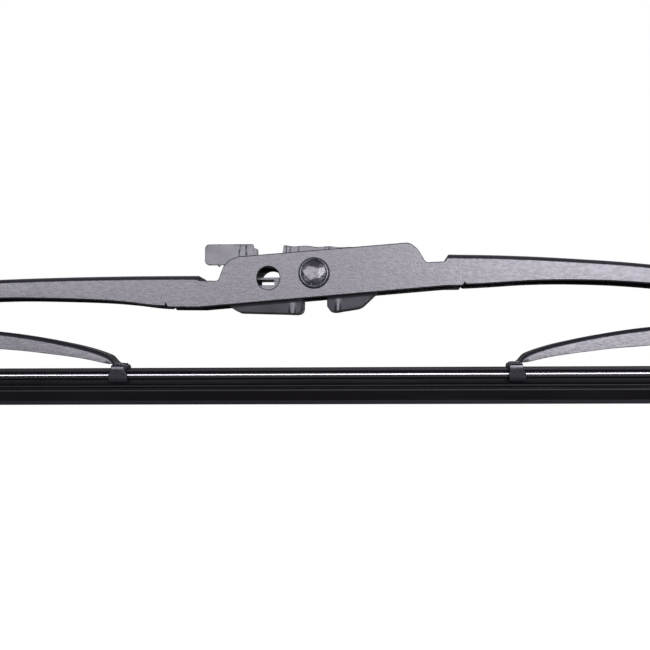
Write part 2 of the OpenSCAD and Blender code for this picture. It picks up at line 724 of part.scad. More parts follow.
module yoke_liner() {
    liner(yoke_pivot_x, yoke_pivot_z, yoke_liner_half, yoke_half + liner_gap,
        yoke_crest_z + liner_gap, yoke_crest_z - yoke_depth, yoke_rivet_r + run_fit);
}
module left_yoke_liner() { color(bright) mirror([1, 0, 0]) yoke_liner(); }
module right_yoke_liner() { color(bright) yoke_liner(); }

// The rubber's section from the lip's root to the head: half width in shares of the
// head's, and height in shares of the rubber's
lip_root_share = 1.2;
lip_height_share = 0.105;
section_shares = [[0.68, 0.39], [0.68, 0.43], [0.18, 0.44], [0.18, 0.465], [0.93, 0.48], [0.93, 0.52],
                  [0.39, 0.57], [0.39, 0.695], [0.965, 0.71], [1.035, 0.74]];
// Extra half width of the head under the rails, and its corners
seat_share = 1.035;
head_corner = 0.4;

// The rubber strip: head, rail grooves, neck, shoulders and wiping lip
module rubber_strip() {
    half = concat(
        [[lip_half, 0], [lip_half * lip_root_share, rubber_h * lip_height_share]],
        [for (share = section_shares) [head_half * share[0], rubber_h * share[1]]],
        [[head_half * seat_share, rail_z], [rail_in, rail_z], [rail_in, rail_z + rail_t],
         [head_half, rail_z + rail_t], [head_half, rubber_h - head_corner],
         [head_half - head_corner, rubber_h]]);
    color(rubber)
        bar(concat(half, [for (i = [len(half) - 1:-1:0]) [-half[i][0], half[i][1]]]), blade_len / 2);
}

module rail(side) {
    translate([0, side * (rail_in + rail_w / 2), rail_z + rail_t / 2])
        cube([blade_len - 2 * rail_short, rail_w, rail_t], center = true);
}
module front_rail() { color(bright) rail(-1); }
module rear_rail() { color(bright) rail(1); }

primary_lever();
centre_rivet();
rivet_sleeve();
hook_adapter();
left_lever();
right_lever();
left_lever_rivet();
right_lever_rivet();
left_lever_liner();
right_lever_liner();
left_yoke();
right_yoke();
left_yoke_rivet();
right_yoke_rivet();
left_yoke_liner();
right_yoke_liner();
rubber_strip();
front_rail();
rear_rail();
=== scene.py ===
# %% [markdown]
# # A bridged wiper blade in a studio picture
# The blade is a family of folded steel channels. A main lever with a raised tower carries two
# side levers, each of those carries a yoke, and six claws hold a rubber strip with two spring
# rails. The frame gives every piece its true size and joint. This lesson dresses each piece:
# it works the surface out with numpy, gives it a finish and lets it ride on its body.

# %% Frame
import json
import math

import bmesh
import bpy
import numpy as np
from mathutils import Matrix, Vector
from mathutils.geometry import tessellate_polygon


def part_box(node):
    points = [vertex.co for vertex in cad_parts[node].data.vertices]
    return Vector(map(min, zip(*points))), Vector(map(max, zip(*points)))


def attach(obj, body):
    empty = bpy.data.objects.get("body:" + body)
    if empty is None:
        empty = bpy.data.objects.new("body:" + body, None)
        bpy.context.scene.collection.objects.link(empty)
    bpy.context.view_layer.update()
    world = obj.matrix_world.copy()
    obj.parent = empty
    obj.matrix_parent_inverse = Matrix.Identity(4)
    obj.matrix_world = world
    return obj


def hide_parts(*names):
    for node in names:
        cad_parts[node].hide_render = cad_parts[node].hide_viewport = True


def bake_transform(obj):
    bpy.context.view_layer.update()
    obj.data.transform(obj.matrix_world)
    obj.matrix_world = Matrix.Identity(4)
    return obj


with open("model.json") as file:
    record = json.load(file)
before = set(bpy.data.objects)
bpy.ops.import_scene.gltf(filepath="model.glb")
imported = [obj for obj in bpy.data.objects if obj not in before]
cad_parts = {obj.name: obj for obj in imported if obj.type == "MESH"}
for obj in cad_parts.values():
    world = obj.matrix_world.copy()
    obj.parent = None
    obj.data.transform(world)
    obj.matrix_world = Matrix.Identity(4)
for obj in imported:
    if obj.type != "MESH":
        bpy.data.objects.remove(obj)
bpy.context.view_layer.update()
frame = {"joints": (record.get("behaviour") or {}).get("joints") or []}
MM = 0.001
pivots = {joint["name"]: np.array(joint["pos_m"]) / MM for joint in frame["joints"]}
print("pivots in mm:", {name: place.round(2).tolist() for name, place in pivots.items()})

# %% [markdown]
# ## Sizes and curves that many pieces share
# Places are in millimetres in the blade's own frame: X along the blade, Y across it with the
# viewer on the minus side, Z up from the wiping lip. Pressed levers have long sweeping edges.
# Such an edge could be a spline object, but a short table of places and values, joined by
# cubics that never swing past a row, can be read and changed by hand.

# %% Shared sizes
RIVET_Z = pivots["blade_swivel"][2]
LEVER_PIVOT = pivots["right_lever_pivot"]
YOKE_PIVOT = pivots["right_yoke_pivot"]
RUBBER_H = 10.3
CLAW_X = 55.3
YOKE_REACH = 45.0
CLAW_TOP, CLAW_PLATE_Z = 11.6, 11.75
SIDES = (("left", -1), ("right", 1))
SOFT_EDGE, PRESSED_EDGE = 0.12, 0.3


def curve(rows, x):
    """A smooth curve through rows of place and value: a cubic between each two rows, with the
    harmonic mean of the neighbouring slopes at a row, or level where the rows turn."""
    place, value = np.array(rows, float).T
    step = np.diff(place)
    rise = np.diff(value) / step
    turn = rise[:-1] * rise[1:]
    inner = np.where(turn > 0, 2 * turn / np.where(turn > 0, rise[:-1] + rise[1:], 1), 0)
    slope = np.concatenate([rise[:1], inner, rise[-1:]])
    i = np.clip(np.searchsorted(place, x, side="right") - 1, 0, len(rise) - 1)
    s = (x - place[i]) / step[i]
    return ((1 + 2 * s) * (1 - s) ** 2 * value[i] + s * (1 - s) ** 2 * step[i] * slope[i]
            + s ** 2 * (3 - 2 * s) * value[i + 1] - s ** 2 * (1 - s) * step[i] * slope[i + 1])


def between(a, b, share):
    """The value at a share of the way from a to b."""
    return a + (b - a) * share


def rounded(rows, closed=True, turn_deg=9):
    """An outline with round corners. A row is a corner's two places and its radius; the arc
    touches both sides at radius / tan(half the corner's angle) from the corner."""
    rows = np.array(rows, float)
    pieces = []
    for i, (across, up, radius) in enumerate(rows):
        corner = np.array([across, up])
        if radius == 0 or (not closed and i in (0, len(rows) - 1)):
            pieces.append(corner[None])
            continue
        before = rows[i - 1, :2] - corner
        after = rows[(i + 1) % len(rows), :2] - corner
        before /= np.linalg.norm(before)
        after /= np.linalg.norm(after)
        half = math.acos(float(np.clip(before @ after, -1, 1))) / 2
        middle = before + after
        centre = corner + middle / np.linalg.norm(middle) * radius / math.sin(half)
        start = corner + before * radius / math.tan(half) - centre
        end = corner + after * radius / math.tan(half) - centre
        swept = math.pi - 2 * half
        way = np.sign(start[0] * end[1] - start[1] * end[0])
        angle = np.linspace(0, swept, max(2, round(math.degrees(swept) / turn_deg)) + 1)
        c, s = np.cos(angle), np.sin(angle) * way
        pieces.append(centre + np.column_stack([start[0] * c - start[1] * s,
                                                start[0] * s + start[1] * c]))
    return np.concatenate(pieces)


print("curve check:", curve([[0, 0], [1, 1], [2, 1]], np.array([0.5, 1.5])).round(3))

# %% [markdown]
# ## From skins to meshes
# Sheet metal is two skins a sheet apart, joined along their edges. Each skin is a grid of
# corners, so the faces are only a matter of counting. A Solidify modifier could give the
# thickness too, but then the bends would lose their true inner shape.

# %% Faces of grids and sheets


def strip_quads(a, b):
    """Quads between two rows of corner numbers."""
    return np.stack([a[:-1], a[1:], b[1:], b[:-1]], -1)


def grid_quads(rows, cols, start=0, wrap=False):
    """Quads of a grid numbered row by row; wrap joins the last column to the first."""
    number = start + np.arange(rows * cols).reshape(rows, cols)
    if wrap:
        number = np.hstack([number, number[:, :1]])
    return np.stack([number[:-1, :-1], number[1:, :-1], number[1:, 1:], number[:-1, 1:]],
                    -1).reshape(-1, 4)


def sheet_mesh(outer, inner, first_end=slice(None)):
    """Corners and faces of a sheet between two skins of one shape. Both long edges and both
    ends are closed; first_end picks the corners along which the first end is closed."""
    rows, cols = outer.shape[:2]
    a = np.arange(rows * cols).reshape(rows, cols)
    b = a + rows * cols
    faces = [grid_quads(rows, cols), grid_quads(rows, cols, rows * cols)[:, ::-1],
             strip_quads(a[:, 0], b[:, 0]), strip_quads(a[:, -1], b[:, -1]),
             strip_quads(a[0, first_end], b[0, first_end]), strip_quads(a[-1], b[-1])]
    return np.concatenate([outer.reshape(-1, 3), inner.reshape(-1, 3)]), faces


def join(*parts):
    """One set of corners and faces out of several."""
    corners, faces, start = [], [], 0
    for part_corners, part_faces in parts:
        corners.append(part_corners)
        faces += [group + start for group in part_faces]
        start += len(part_corners)
    return np.concatenate(corners), faces


def mirrored(part, axis):
    """The same part seen in a mirror across one axis; the normals are put right later."""
    corners, faces = part
    flip = np.ones(3)
    flip[axis] = -1
    return corners * flip, faces


def on_side(part, turn):
    """A part made towards +X, or its mirror image if turn is minus."""
    return mirrored(part, 0) if turn < 0 else part


# %% Plates cut from an outline


def cut_at(outline, places):
    """The outline with a corner added wherever one of its edges crosses one of the places."""
    after = np.roll(outline, -1, axis=0)
    points = []
    for start, end in zip(outline, after):
        crossed = sorted((p for p in places if (start[0] - p) * (end[0] - p) < 0),
                         key=lambda p: abs(p - start[0]))
        points += [start] + [start + (end - start) * (p - start[0]) / (end[0] - start[0])
                             for p in crossed]
    return np.array(points)


def two_hole_faces(outline, first_x, second_x, count):
    """Three faces of an outline with two round holes, parted straight up and down through the
    middle of each hole, so that no face has a sharp sliver. Hole corners are numbered after the
    outline's, anticlockwise from the right."""
    def crossings(place):
        found = np.flatnonzero(np.isclose(outline[:, 0], place))
        return found[np.argsort(outline[found, 1])][[0, -1]]

    def run(start, end):
        return np.arange(start, end + 1 if end > start else end + 1 + len(outline)) % len(outline)

    low_1, high_1 = crossings(first_x)
    low_2, high_2 = crossings(second_x)
    quarter = count // 4
    left_half = len(outline) + np.arange(quarter, 3 * quarter + 1)
    right_half = len(outline) + np.arange(3 * quarter, 5 * quarter + 1) % count
    return [np.concatenate(face)[None] for face in (
        (run(low_1, high_1), left_half),
        (run(high_1, high_2), left_half + count, run(low_2, low_1), right_half),
        (run(high_2, low_2), right_half + count))]


def plate(outline, holes, y_outer, y_inner, open_x=()):
    """A flat plate in X and Z between two planes across the blade: each side is three faces if
    there are two holes, else triangles, and a quad closes each edge, except along open_x."""
    if len(holes) == 2:
        middles = [hole[:, 0].mean() for hole in holes]
        outline = cut_at(outline, middles)
        front = two_hole_faces(outline, *middles, len(holes[0]))
    else:
        front = [np.array(tessellate_polygon([[Vector((*p, 0)) for p in outline]]))]
    loops = [np.asarray(outline)] + [np.asarray(h) for h in holes]
    flat = np.concatenate(loops)
    count = len(flat)
    corners = np.concatenate([np.column_stack([flat[:, 0], np.full(count, y), flat[:, 1]])
                              for y in (y_outer, y_inner)])
    faces, first = front + [group[:, ::-1] + count for group in front], 0
    for loop in loops:
        number = first + np.arange(len(loop))
        a, b = number, np.roll(number, -1)
        shut = ~np.any([np.isclose(flat[a, 0], x) & np.isclose(flat[b, 0], x)
                        for x in open_x] or [np.zeros(len(loop), bool)], axis=0)
        faces.append(np.stack([a, b, b + count, a + count], -1)[shut])
        first += len(loop)
    return corners, faces


def circle(x, z, radius, count=56):
    """The corners of a round hole."""
    angle = np.linspace(0, 2 * math.pi, count, endpoint=False)
    return np.column_stack([x + radius * np.cos(angle), z + radius * np.sin(angle)])


# %% A mesh becomes a piece


def put_piece(name, part, material, slot, body, nodes, sharp_deg=None):
    """A Blender object out of corners in millimetres: doubles are merged, normals made to
    point outwards, and it rides on its body, if it has one, in place of the named nodes."""
    corners, faces = part
    mesh = bpy.data.meshes.new(name)
    mesh.from_pydata((corners * MM).tolist(), [], [f for group in faces for f in group.tolist()])
    work = bmesh.new()
    work.from_mesh(mesh)
    bmesh.ops.remove_doubles(work, verts=work.verts, dist=0.002 * MM)
    bmesh.ops.recalc_face_normals(work, faces=work.faces)
    work.to_mesh(mesh)
    open_edges = sum(1 for e in work.edges if len(e.link_faces) != 2)
    work.free()
    mesh.polygons.foreach_set("use_smooth", np.ones(len(mesh.polygons), bool))
    if sharp_deg:
        mesh.set_sharp_from_angle(angle=math.radians(sharp_deg))
    piece = bpy.data.objects.new(name, mesh)
    bpy.context.scene.collection.objects.link(piece)
    piece.data.materials.append(material)
    if body:
        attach(piece, body)
    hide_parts(*nodes)
    print(f"{name}: {len(mesh.polygons)} faces, {open_edges} edges not shared by two")
    return piece


def soften(piece, width, steps=2, over_deg=24, merge_flat=True):
    """Rounds every edge that turns more than over_deg, as a press or a mould leaves it, and
    keeps the shading of the faces beside it. Flat neighbours are merged first, so that the
    rounding of a plate's rim runs into no thin triangles."""
    if merge_flat:
        work = bmesh.new()
        work.from_mesh(piece.data)
        bmesh.ops.dissolve_limit(work, angle_limit=math.radians(0.02), verts=work.verts,
                                 edges=work.edges)
        work.to_mesh(piece.data)
        work.free()
    bevel = piece.modifiers.new("rounded edges", "BEVEL")
    bevel.width = width * MM
    bevel.segments = steps
    bevel.limit_method = "ANGLE"
    bevel.angle_limit = math.radians(over_deg)
    bevel.use_clamp_overlap = False
    bevel.loop_slide = False
    flat = piece.modifiers.new("flat faces stay flat", "WEIGHTED_NORMAL")
    flat.keep_sharp = True


# %% [markdown]
# ## Finishes
# Every colour is an sRGB hex value that one function turns to linear light. Each finish starts
# from what the real surface is and how it was made. Patterns read object coordinates, which
# are metres here, so a pattern of so many millimetres has a scale of one over that in metres.

# %% Colour and node helpers


def linear(hex_colour):
    """sRGB hex to linear light: c / 12.92 below 0.04045, else ((c + 0.055) / 1.055) ^ 2.4."""
    channels = [int(hex_colour[i:i + 2], 16) / 255 for i in (1, 3, 5)]
    return [c / 12.92 if c <= 0.04045 else ((c + 0.055) / 1.055) ** 2.4 for c in channels] + [1]


def add_node(tree, kind, inputs=None, **settings):
    """One node with its settings; inputs holds a value, or another node's output, by name."""
    node = tree.nodes.new(kind)
    for key, value in settings.items():
        setattr(node, key, value)
    for key, value in (inputs or {}).items():
        if isinstance(value, bpy.types.NodeSocket):
            tree.links.new(value, node.inputs[key])
        else:
            node.inputs[key].default_value = value
    return node


def start_material(name, **sockets):
    """A material with one Principled shader whose plain sockets are set; returns its parts."""
    material = bpy.data.materials.new(name)
    material.use_nodes = True
    tree = material.node_tree
    tree.nodes.clear()
    shader = add_node(tree, "ShaderNodeBsdfPrincipled",
                      {key.replace("_", " "): value for key, value in sockets.items()})
    add_node(tree, "ShaderNodeOutputMaterial", {"Surface": shader.outputs["BSDF"]})
    place = add_node(tree, "ShaderNodeTexCoord").outputs["Object"]
    return material, tree, shader, place


def waves(tree, place, size_mm, detail=2.0, stretch=(1, 1, 1), tilt=(0, 0, 0)):
    """Noise whose lumps are size_mm across, stretched by dividing the coordinates."""
    mapped = add_node(tree, "ShaderNodeMapping", {
        "Vector": place, "Rotation": tilt, "Scale": [1 / s for s in stretch]})
    return add_node(tree, "ShaderNodeTexNoise", {
        "Vector": mapped.outputs["Vector"], "Scale": 1 / (size_mm * MM), "Detail": detail})


def vary(tree, factor, low, high):
    """A value between low and high that follows the middle range of a pattern."""
    return add_node(tree, "ShaderNodeMapRange", {
        "Value": factor, "From Min": 0.35, "From Max": 0.65,
        "To Min": low, "To Max": high}).outputs["Result"]


def tint(tree, factor, dark, light):
    """A colour between two hex colours."""
    mix = add_node(tree, "ShaderNodeMix", {"Factor": factor}, data_type="RGBA")
    mix.inputs["A"].default_value = linear(dark)
    mix.inputs["B"].default_value = linear(light)
    return mix.outputs["Result"]


def bumps(tree, height, depth_mm, below=None):
    """A bump of so many millimetres; below is the normal of a coarser bump under it."""
    inputs = {"Height": height, "Distance": depth_mm * MM, "Strength": 1.0}
    if below is not None:
        inputs["Normal"] = below
    return add_node(tree, "ShaderNodeBump", inputs).outputs["Normal"]


def dress(tree, shader, colour, roughness, normal):
    """Links the three patterns of a finish to its shader."""
    for name, output in (("Base Color", colour), ("Roughness", roughness), ("Normal", normal)):
        tree.links.new(output, shader.inputs[name])


# %% Satin enamel on pressed steel


def satin_enamel():
    """Black enamel stoved on the levers. It is satin, so a broad light in front greys every
    upright face while bends stay dark, and its orange peel makes faint ripples 1 to 2 mm long."""
    material, tree, shader, place = start_material("satin_enamel_on_steel", IOR=1.5)
    patches = waves(tree, place, 9, 2).outputs["Fac"]
    peel = waves(tree, place, 0.8, 2, stretch=(1.8, 1, 0.75), tilt=(0, 0.3, 0)).outputs["Fac"]
    grit = waves(tree, place, 0.22, 3).outputs["Fac"]
    dress(tree, shader, tint(tree, patches, "#100f13", "#18171c"), vary(tree, peel, 0.31, 0.37),
          bumps(tree, grit, 0.002, below=bumps(tree, peel, 0.035)))
    return material


def rivet_enamel():
    """The same enamel, rubbed glossy on the hammered heads of the rivets."""
    material, tree, shader, place = start_material("gloss_enamel_on_rivets", IOR=1.5)
    patches = waves(tree, place, 1.6, 3).outputs["Fac"]
    marks = waves(tree, place, 0.7, 3).outputs["Fac"]
    dress(tree, shader, tint(tree, patches, "#100f13", "#2a292f"), vary(tree, patches, 0.2, 0.34),
          bumps(tree, marks, 0.08))
    return material


# %% Moulded nylon, liners and rubber


def moulded_nylon():
    """Glass-filled black nylon of the adapter: matter than enamel, with the mould's fine grain
    and slow changes of sheen where the melt cooled."""
    material, tree, shader, place = start_material("moulded_nylon", IOR=1.53)
    flow = waves(tree, place, 5, 2, stretch=(2, 1, 1)).outputs["Fac"]
    grain = waves(tree, place, 0.3, 3).outputs["Fac"]
    dress(tree, shader, tint(tree, flow, "#131318", "#1b1b20"), vary(tree, flow, 0.34, 0.44),
          bumps(tree, grain, 0.004))
    return material


def liner_acetal():
    """Punched acetal strips that line the pivots: smooth, waxy and a little pale."""
    material, tree, shader, place = start_material("folded_acetal_liner", IOR=1.48)
    flow = waves(tree, place, 3, 2).outputs["Fac"]
    dress(tree, shader, tint(tree, flow, "#3a3a3e", "#46464a"), vary(tree, flow, 0.4, 0.5),
          bumps(tree, flow, 0.004))
    return material


def extruded_rubber():
    """Extruded natural rubber, dulled by graphite powder: deep black, with a weak wide sheen
    and faint draw lines along the strip that the die leaves."""
    material, tree, shader, place = start_material("extruded_rubber", IOR=1.52,
                                                   Specular_IOR_Level=0.1)
    cloud = waves(tree, place, 6, 3, stretch=(4, 1, 1)).outputs["Fac"]
    lines = waves(tree, place, 0.16, 2, stretch=(60, 1, 1)).outputs["Fac"]
    dress(tree, shader, tint(tree, cloud, "#050406", "#0b0a0d"), vary(tree, cloud, 0.42, 0.52),
          bumps(tree, lines, 0.006))
    return material


def rolled_steel():
    """Bright cold-rolled stainless strip of the rails. Rolling leaves fine lines along it."""
    material, tree, shader, place = start_material("cold_rolled_stainless", Metallic=1.0)
    lines = waves(tree, place, 0.3, 2, stretch=(80, 1, 1)).outputs["Fac"]
    dress(tree, shader, tint(tree, lines, "#a4a2a5", "#b0aeb1"), vary(tree, lines, 0.38, 0.46),
          bumps(tree, lines, 0.0004))
    return material


enamel = satin_enamel()
rivet_finish = rivet_enamel()
nylon = moulded_nylon()
acetal = liner_acetal()
rubber = extruded_rubber()
steel = rolled_steel()
print("materials:", [m.name for m in (enamel, rivet_finish, nylon, acetal, rubber, steel)])

# %% [markdown]
# ## Folded channels
# A press folds each lever from one flat blank, so its section is a channel whose walls, back
# and bends all change along its length. One function gives the two skins of such a channel.
# The bend starts with a crease: its normals run from 28 degrees above level to upright, which
# is why it stays a crisp dark band over the pale wall.

# %% Skins of a channel
BEND_W, BEND_H = 1.4, 1.3
CREASE_DEG = 28
bend_angle = np.radians(np.linspace(CREASE_DEG, 90, 8))
bend_in = (math.cos(bend_angle[0]) - np.cos(bend_angle)) / math.cos(bend_angle[0])
bend_up = (np.sin(bend_angle) - math.sin(bend_angle[0])) / (1 - math.sin(bend_angle[0]))


def channel_skins(x, half, back, foot, sheet, bend_h=BEND_H, lean=0.0):
    """Outer and inner skin of a folded channel: at each station along X a ring runs from the
    near wall's foot over the back to the far wall's foot. lean slants the first end."""
    skins = []
    for wall, edge, top in ((half, half - BEND_W, back),
                            (half - sheet, half - np.maximum(BEND_W, sheet + 0.1) - 0.2 * sheet,
                             back - sheet)):
        shoulder = back - bend_h
        y = np.hstack([wall[:, None], wall[:, None] + (edge - wall)[:, None] * bend_in])
        z = np.hstack([foot[:, None], shoulder[:, None] + (top - shoulder)[:, None] * bend_up])
        fade = np.clip(1 - (x - x[0]) / 4, 0, 1)[:, None]
        along = x[:, None] + lean * fade * np.r_[0, bend_up]
        near = np.stack([along, -y, z], -1)
        far = np.stack([along, y, z], -1)[:, ::-1]
        skins.append(np.concatenate([near, far], 1))
    return skins


def tapered_channel(x, half, back, foot, sheet, bend_share):
    """A closed channel whose sheet and bend get smaller where its walls are low."""
    depth = back - foot
    return sheet_mesh(*channel_skins(x, half, back, foot, sheet * np.minimum(1, depth * 0.9),
                                     bend_h=np.minimum(BEND_H, depth * bend_share)))


def ear(foot, x, pivot, radius):
    """The foot of a wall that bulges round below a pivot: pivot height minus the circle."""
    reach = np.clip(radius ** 2 - (x - pivot[0]) ** 2, 0, None)
    return np.where(reach > 0, np.minimum(foot, pivot[2] - np.sqrt(reach)), foot)


def stations(first, last, count, pivot_x, radius, extra=()):
    """Places along a lever, closer together round a pivot and at the extra places."""
    round_pivot = pivot_x + radius * np.sin(np.linspace(-math.pi / 2, math.pi / 2, 21))
    return np.unique(np.concatenate([np.linspace(first, last, count), round_pivot,
                                     extra]).clip(first, last).round(4))


# %% [markdown]
# ## The main lever
# One sheet forms both arms and the two plates of the tower, and the web between the plates is
# cut away so that the wiper arm's hook can drop in. The plates are cut from an outline with
# round corners, the arms are channels, and both share the corners along the seam, so the whole
# lever is one closed mesh.

# %% Main lever: sizes
PRIMARY = {"sheet": 1.2, "tower_half": 7.0, "end_half": 6.6, "tip_z": 24.9, "depth": 5.1,
           "overhang": 5.0, "ear": 3.9}
LEFT_ARM = {
    "web": 31.7, "root_z": 35.6, "root_depth": 8.5, "lean": 0.0,
    "back": [[0, 0], [0.12, -0.004], [0.23, 0.004], [0.35, 0.025], [0.46, 0.06], [0.6, 0.145],
             [0.72, 0.28], [0.84, 0.5], [0.96, 0.9], [1, 1]],
    "deep": [[0, 1], [0.08, 0.975], [0.17, 0.625], [0.22, 0.455], [0.34, 0.22],
             [0.45, 0.065], [0.6, 0], [0.8, 0.08], [1, 0.5]]}
RIGHT_ARM = {
    "web": 36.0, "root_z": 40.9, "root_depth": 8.4, "lean": 0.5,
    "back": [[0, 0], [0.1, 0.0175], [0.19, 0.046], [0.29, 0.091], [0.41, 0.159], [0.58, 0.31],
             [0.71, 0.47], [0.83, 0.67], [0.96, 0.93], [1, 1]],
    "deep": [[0, 1], [0.05, 0.95], [0.1, 0.83], [0.19, 0.51], [0.24, 0.37], [0.29, 0.26],
             [0.41, 0.106], [0.6, 0], [0.8, 0.08], [1, 0.5]]}
ARM_WIDTHS = [[0, 0], [0.1, 0], [0.45, 0.6], [0.85, 1], [1, 1]]
SIDE_HOLE = (-12.6, 34.7, 3.15)
NICK_X, NICK_H, HEM_H = 40.9, 0.5, 0.3


def arm_lines(arm, x):
    """Half width, back and foot of an arm at places x from the rivet."""
    share = (x - arm["web"]) / (LEVER_PIVOT[0] + PRIMARY["overhang"] - arm["web"])
    back = between(arm["root_z"], PRIMARY["tip_z"], curve(arm["back"], share))
    foot = back - between(PRIMARY["depth"], arm["root_depth"], curve(arm["deep"], share))
    half = between(PRIMARY["tower_half"], PRIMARY["end_half"], curve(ARM_WIDTHS, share))
    foot = foot - HEM_H * (x < NICK_X) + NICK_H * (np.abs(x - NICK_X) < 0.01)
    return half, back, ear(foot, x, LEVER_PIVOT, PRIMARY["ear"])


def arm_part(arm):
    """One arm as a closed channel, open only along the walls that the tower's plates meet."""
    x = stations(arm["web"], LEVER_PIVOT[0] + PRIMARY["overhang"], 80, LEVER_PIVOT[0],
                 PRIMARY["ear"], extra=[NICK_X - 0.5, NICK_X, NICK_X + 0.5])
    half, back, foot = arm_lines(arm, x)
    outer, inner = channel_skins(x, half, back, foot, PRIMARY["sheet"], lean=arm["lean"])
    return sheet_mesh(outer, inner, first_end=slice(1, -1))


def seam(arm):
    """Heights of the wall's foot and shoulder where an arm meets the tower."""
    half, back, foot = arm_lines(arm, np.array([arm["web"]]))
    return foot[0], back[0] - BEND_H


def tower_outline():
    """The tower's side view: foot line, notch, raised tower and notch again."""
    left_foot, left_top = seam(LEFT_ARM)
    right_foot, right_top = seam(RIGHT_ARM)
    return rounded([
        [-LEFT_ARM["web"], left_foot, 0],
        [-LEFT_ARM["web"], left_top, 0],
        [-30.9, left_top - 0.12, 0.4],
        [-26.5, left_top - 0.2, 0.9],
        [-25.0, RIVET_Z + 2.0, 2.2],
        [-23.4, RIVET_Z + 3.8, 2.2],
        [-20.9, RIVET_Z + 4.75, 4.0],
        [26.2, RIVET_Z + 8.22, 3.0],
        [28.4, RIVET_Z + 6.25, 3.0],
        [29.95, RIVET_Z + 3.6, 4],
        [30.6, right_top - 0.9, 0.7],
        [RIGHT_ARM["web"] - 0.6, right_top - 0.7, 0.4],
        [RIGHT_ARM["web"], right_top, 0],
        [RIGHT_ARM["web"], right_foot, 0]])


# %% Main lever: mesh
outline = tower_outline()
holes = [circle(SIDE_HOLE[0], SIDE_HOLE[1], SIDE_HOLE[2]), circle(0, RIVET_Z, 2.25)]
near_plate = plate(outline, holes, -PRIMARY["tower_half"],
                   -PRIMARY["tower_half"] + PRIMARY["sheet"],
                   open_x=(-LEFT_ARM["web"], RIGHT_ARM["web"]))
main_lever = put_piece("main_lever", join(near_plate, mirrored(near_plate, 1),
                                          arm_part(RIGHT_ARM), mirrored(arm_part(LEFT_ARM), 0)),
                       enamel, "lever_paint", "primary", ["primary_lever"])
soften(main_lever, PRESSED_EDGE, steps=3, merge_flat=False)

# %% [markdown]
# ## Claws
# At each end of a lever or yoke the sheet goes on as a strap that is folded over the rubber's
# head and closed under it. The strap is a path in Y and Z, carried along X, and its width
# grows towards the foot. The skins are the path moved out and in by half the sheet.

# %% Claw strap
CLAW = {"sheet": 0.75, "half": 4.45, "top": 11.1, "knee": 10.0, "foot": 6.2, "tip": 2.25,
        "w": 3.6, "tuck": 0.8, "bend": 0.9, "lip_lean": 0.25}
INNER_CLAW_X = 54.9


def path_normals(path):
    """Unit normals of a path in two dimensions, from the chord of each point's neighbours."""
    chord = np.gradient(path, axis=0)
    normal = np.column_stack([-chord[:, 1], chord[:, 0]])
    return normal / np.linalg.norm(normal, axis=1)[:, None]


def claw_part(x, flares=(0.8, 0.8)):
    """A strap over the rubber's head: a rounded path from tip to tip, whose sides lean in below
    the knee by the tuck and widen towards the foot by a flare at either side."""
    t = CLAW["sheet"]
    mid_half, mid_top, mid_foot = CLAW["half"] - t / 2, CLAW["top"] - t / 2, CLAW["foot"] + t / 2
    near = [[-CLAW["tip"], mid_foot, 0], [CLAW["tuck"] - mid_half, mid_foot, CLAW["bend"]],
            [-mid_half, CLAW["knee"], 0.8], [-mid_half, mid_top, 0.3]]
    far = [[-y, z, radius] for y, z, radius in reversed(near)]
    corners = rounded(near + far, closed=False, turn_deg=10)
    run = np.r_[0, np.cumsum(np.linalg.norm(np.diff(corners, axis=0), axis=1))]
    place = np.linspace(0, run[-1], 60)
    path = np.column_stack([np.interp(place, run, corners[:, i]) for i in (0, 1)])
    normal = path_normals(path)
    low = np.clip((CLAW["knee"] - path[:, 1]) / 1.9, 0, 1)
    grow = low * low * (3 - 2 * low)
    share = np.linspace(0, 1, 7)
    along = x + (-CLAW["w"] / 2 - flares[0] * grow)[:, None] * (1 - share) \
        + (CLAW["w"] / 2 + flares[1] * grow)[:, None] * share
    skins = []
    for side in (t / 2, -t / 2):
        y, z = np.repeat((path + normal * side).T[:, :, None], len(share), 2)
        skins.append(np.stack([along, y, z], -1))
    return sheet_mesh(*skins)


def neck_part(x):
    """The sheet between a claw's strap and the tongue or channel over it."""
    return block([x - CLAW["w"] / 2, -3.1, CLAW["top"] - 0.1],
                 [x + CLAW["w"] / 2, 3.1, CLAW["top"] + 0.3])


def block(low, high):
    """A box between two corners, to be softened later."""
    x, y, z = np.array([low, high]).T
    corners = np.array([[x[i], y[j], z[k]] for i in (0, 1) for j in (0, 1) for k in (0, 1)])
    faces = np.array([[0, 1, 3, 2], [4, 6, 7, 5], [0, 4, 5, 1], [2, 3, 7, 6], [0, 2, 6, 4],
                      [1, 5, 7, 3]])
    return corners, [faces]


WIDE_LIP = [[-0.5, 9.0], [-0.5, 10.5], [0.55, 11.25], [1.2, 10.5]]
THIN_LIP = [[-0.5, 9.6], [-0.5, 11.2], [0.55, 11.5], [0.2, 9.9]]


def lip_part(x, way, shape):
    """The small lip that stands out from the strap's near side: a plate of the given shape,
    beside the strap's edge, that leans in towards its foot."""
    edge = np.array(shape)
    edge[:, 0] = x + way * (CLAW["w"] / 2 + edge[:, 0])
    corners, faces = plate(edge, [], -CLAW["half"], -CLAW["half"] + 0.7)
    corners[:, 1] += CLAW["lip_lean"] * (CLAW_TOP - corners[:, 2])
    return corners, faces


# %% [markdown]
# ## The side levers
# A side lever starts as a flat tongue on top of its inner claw, climbs in a tight arch, and
# runs out nearly level past its two pivots. Its walls deepen as it climbs.

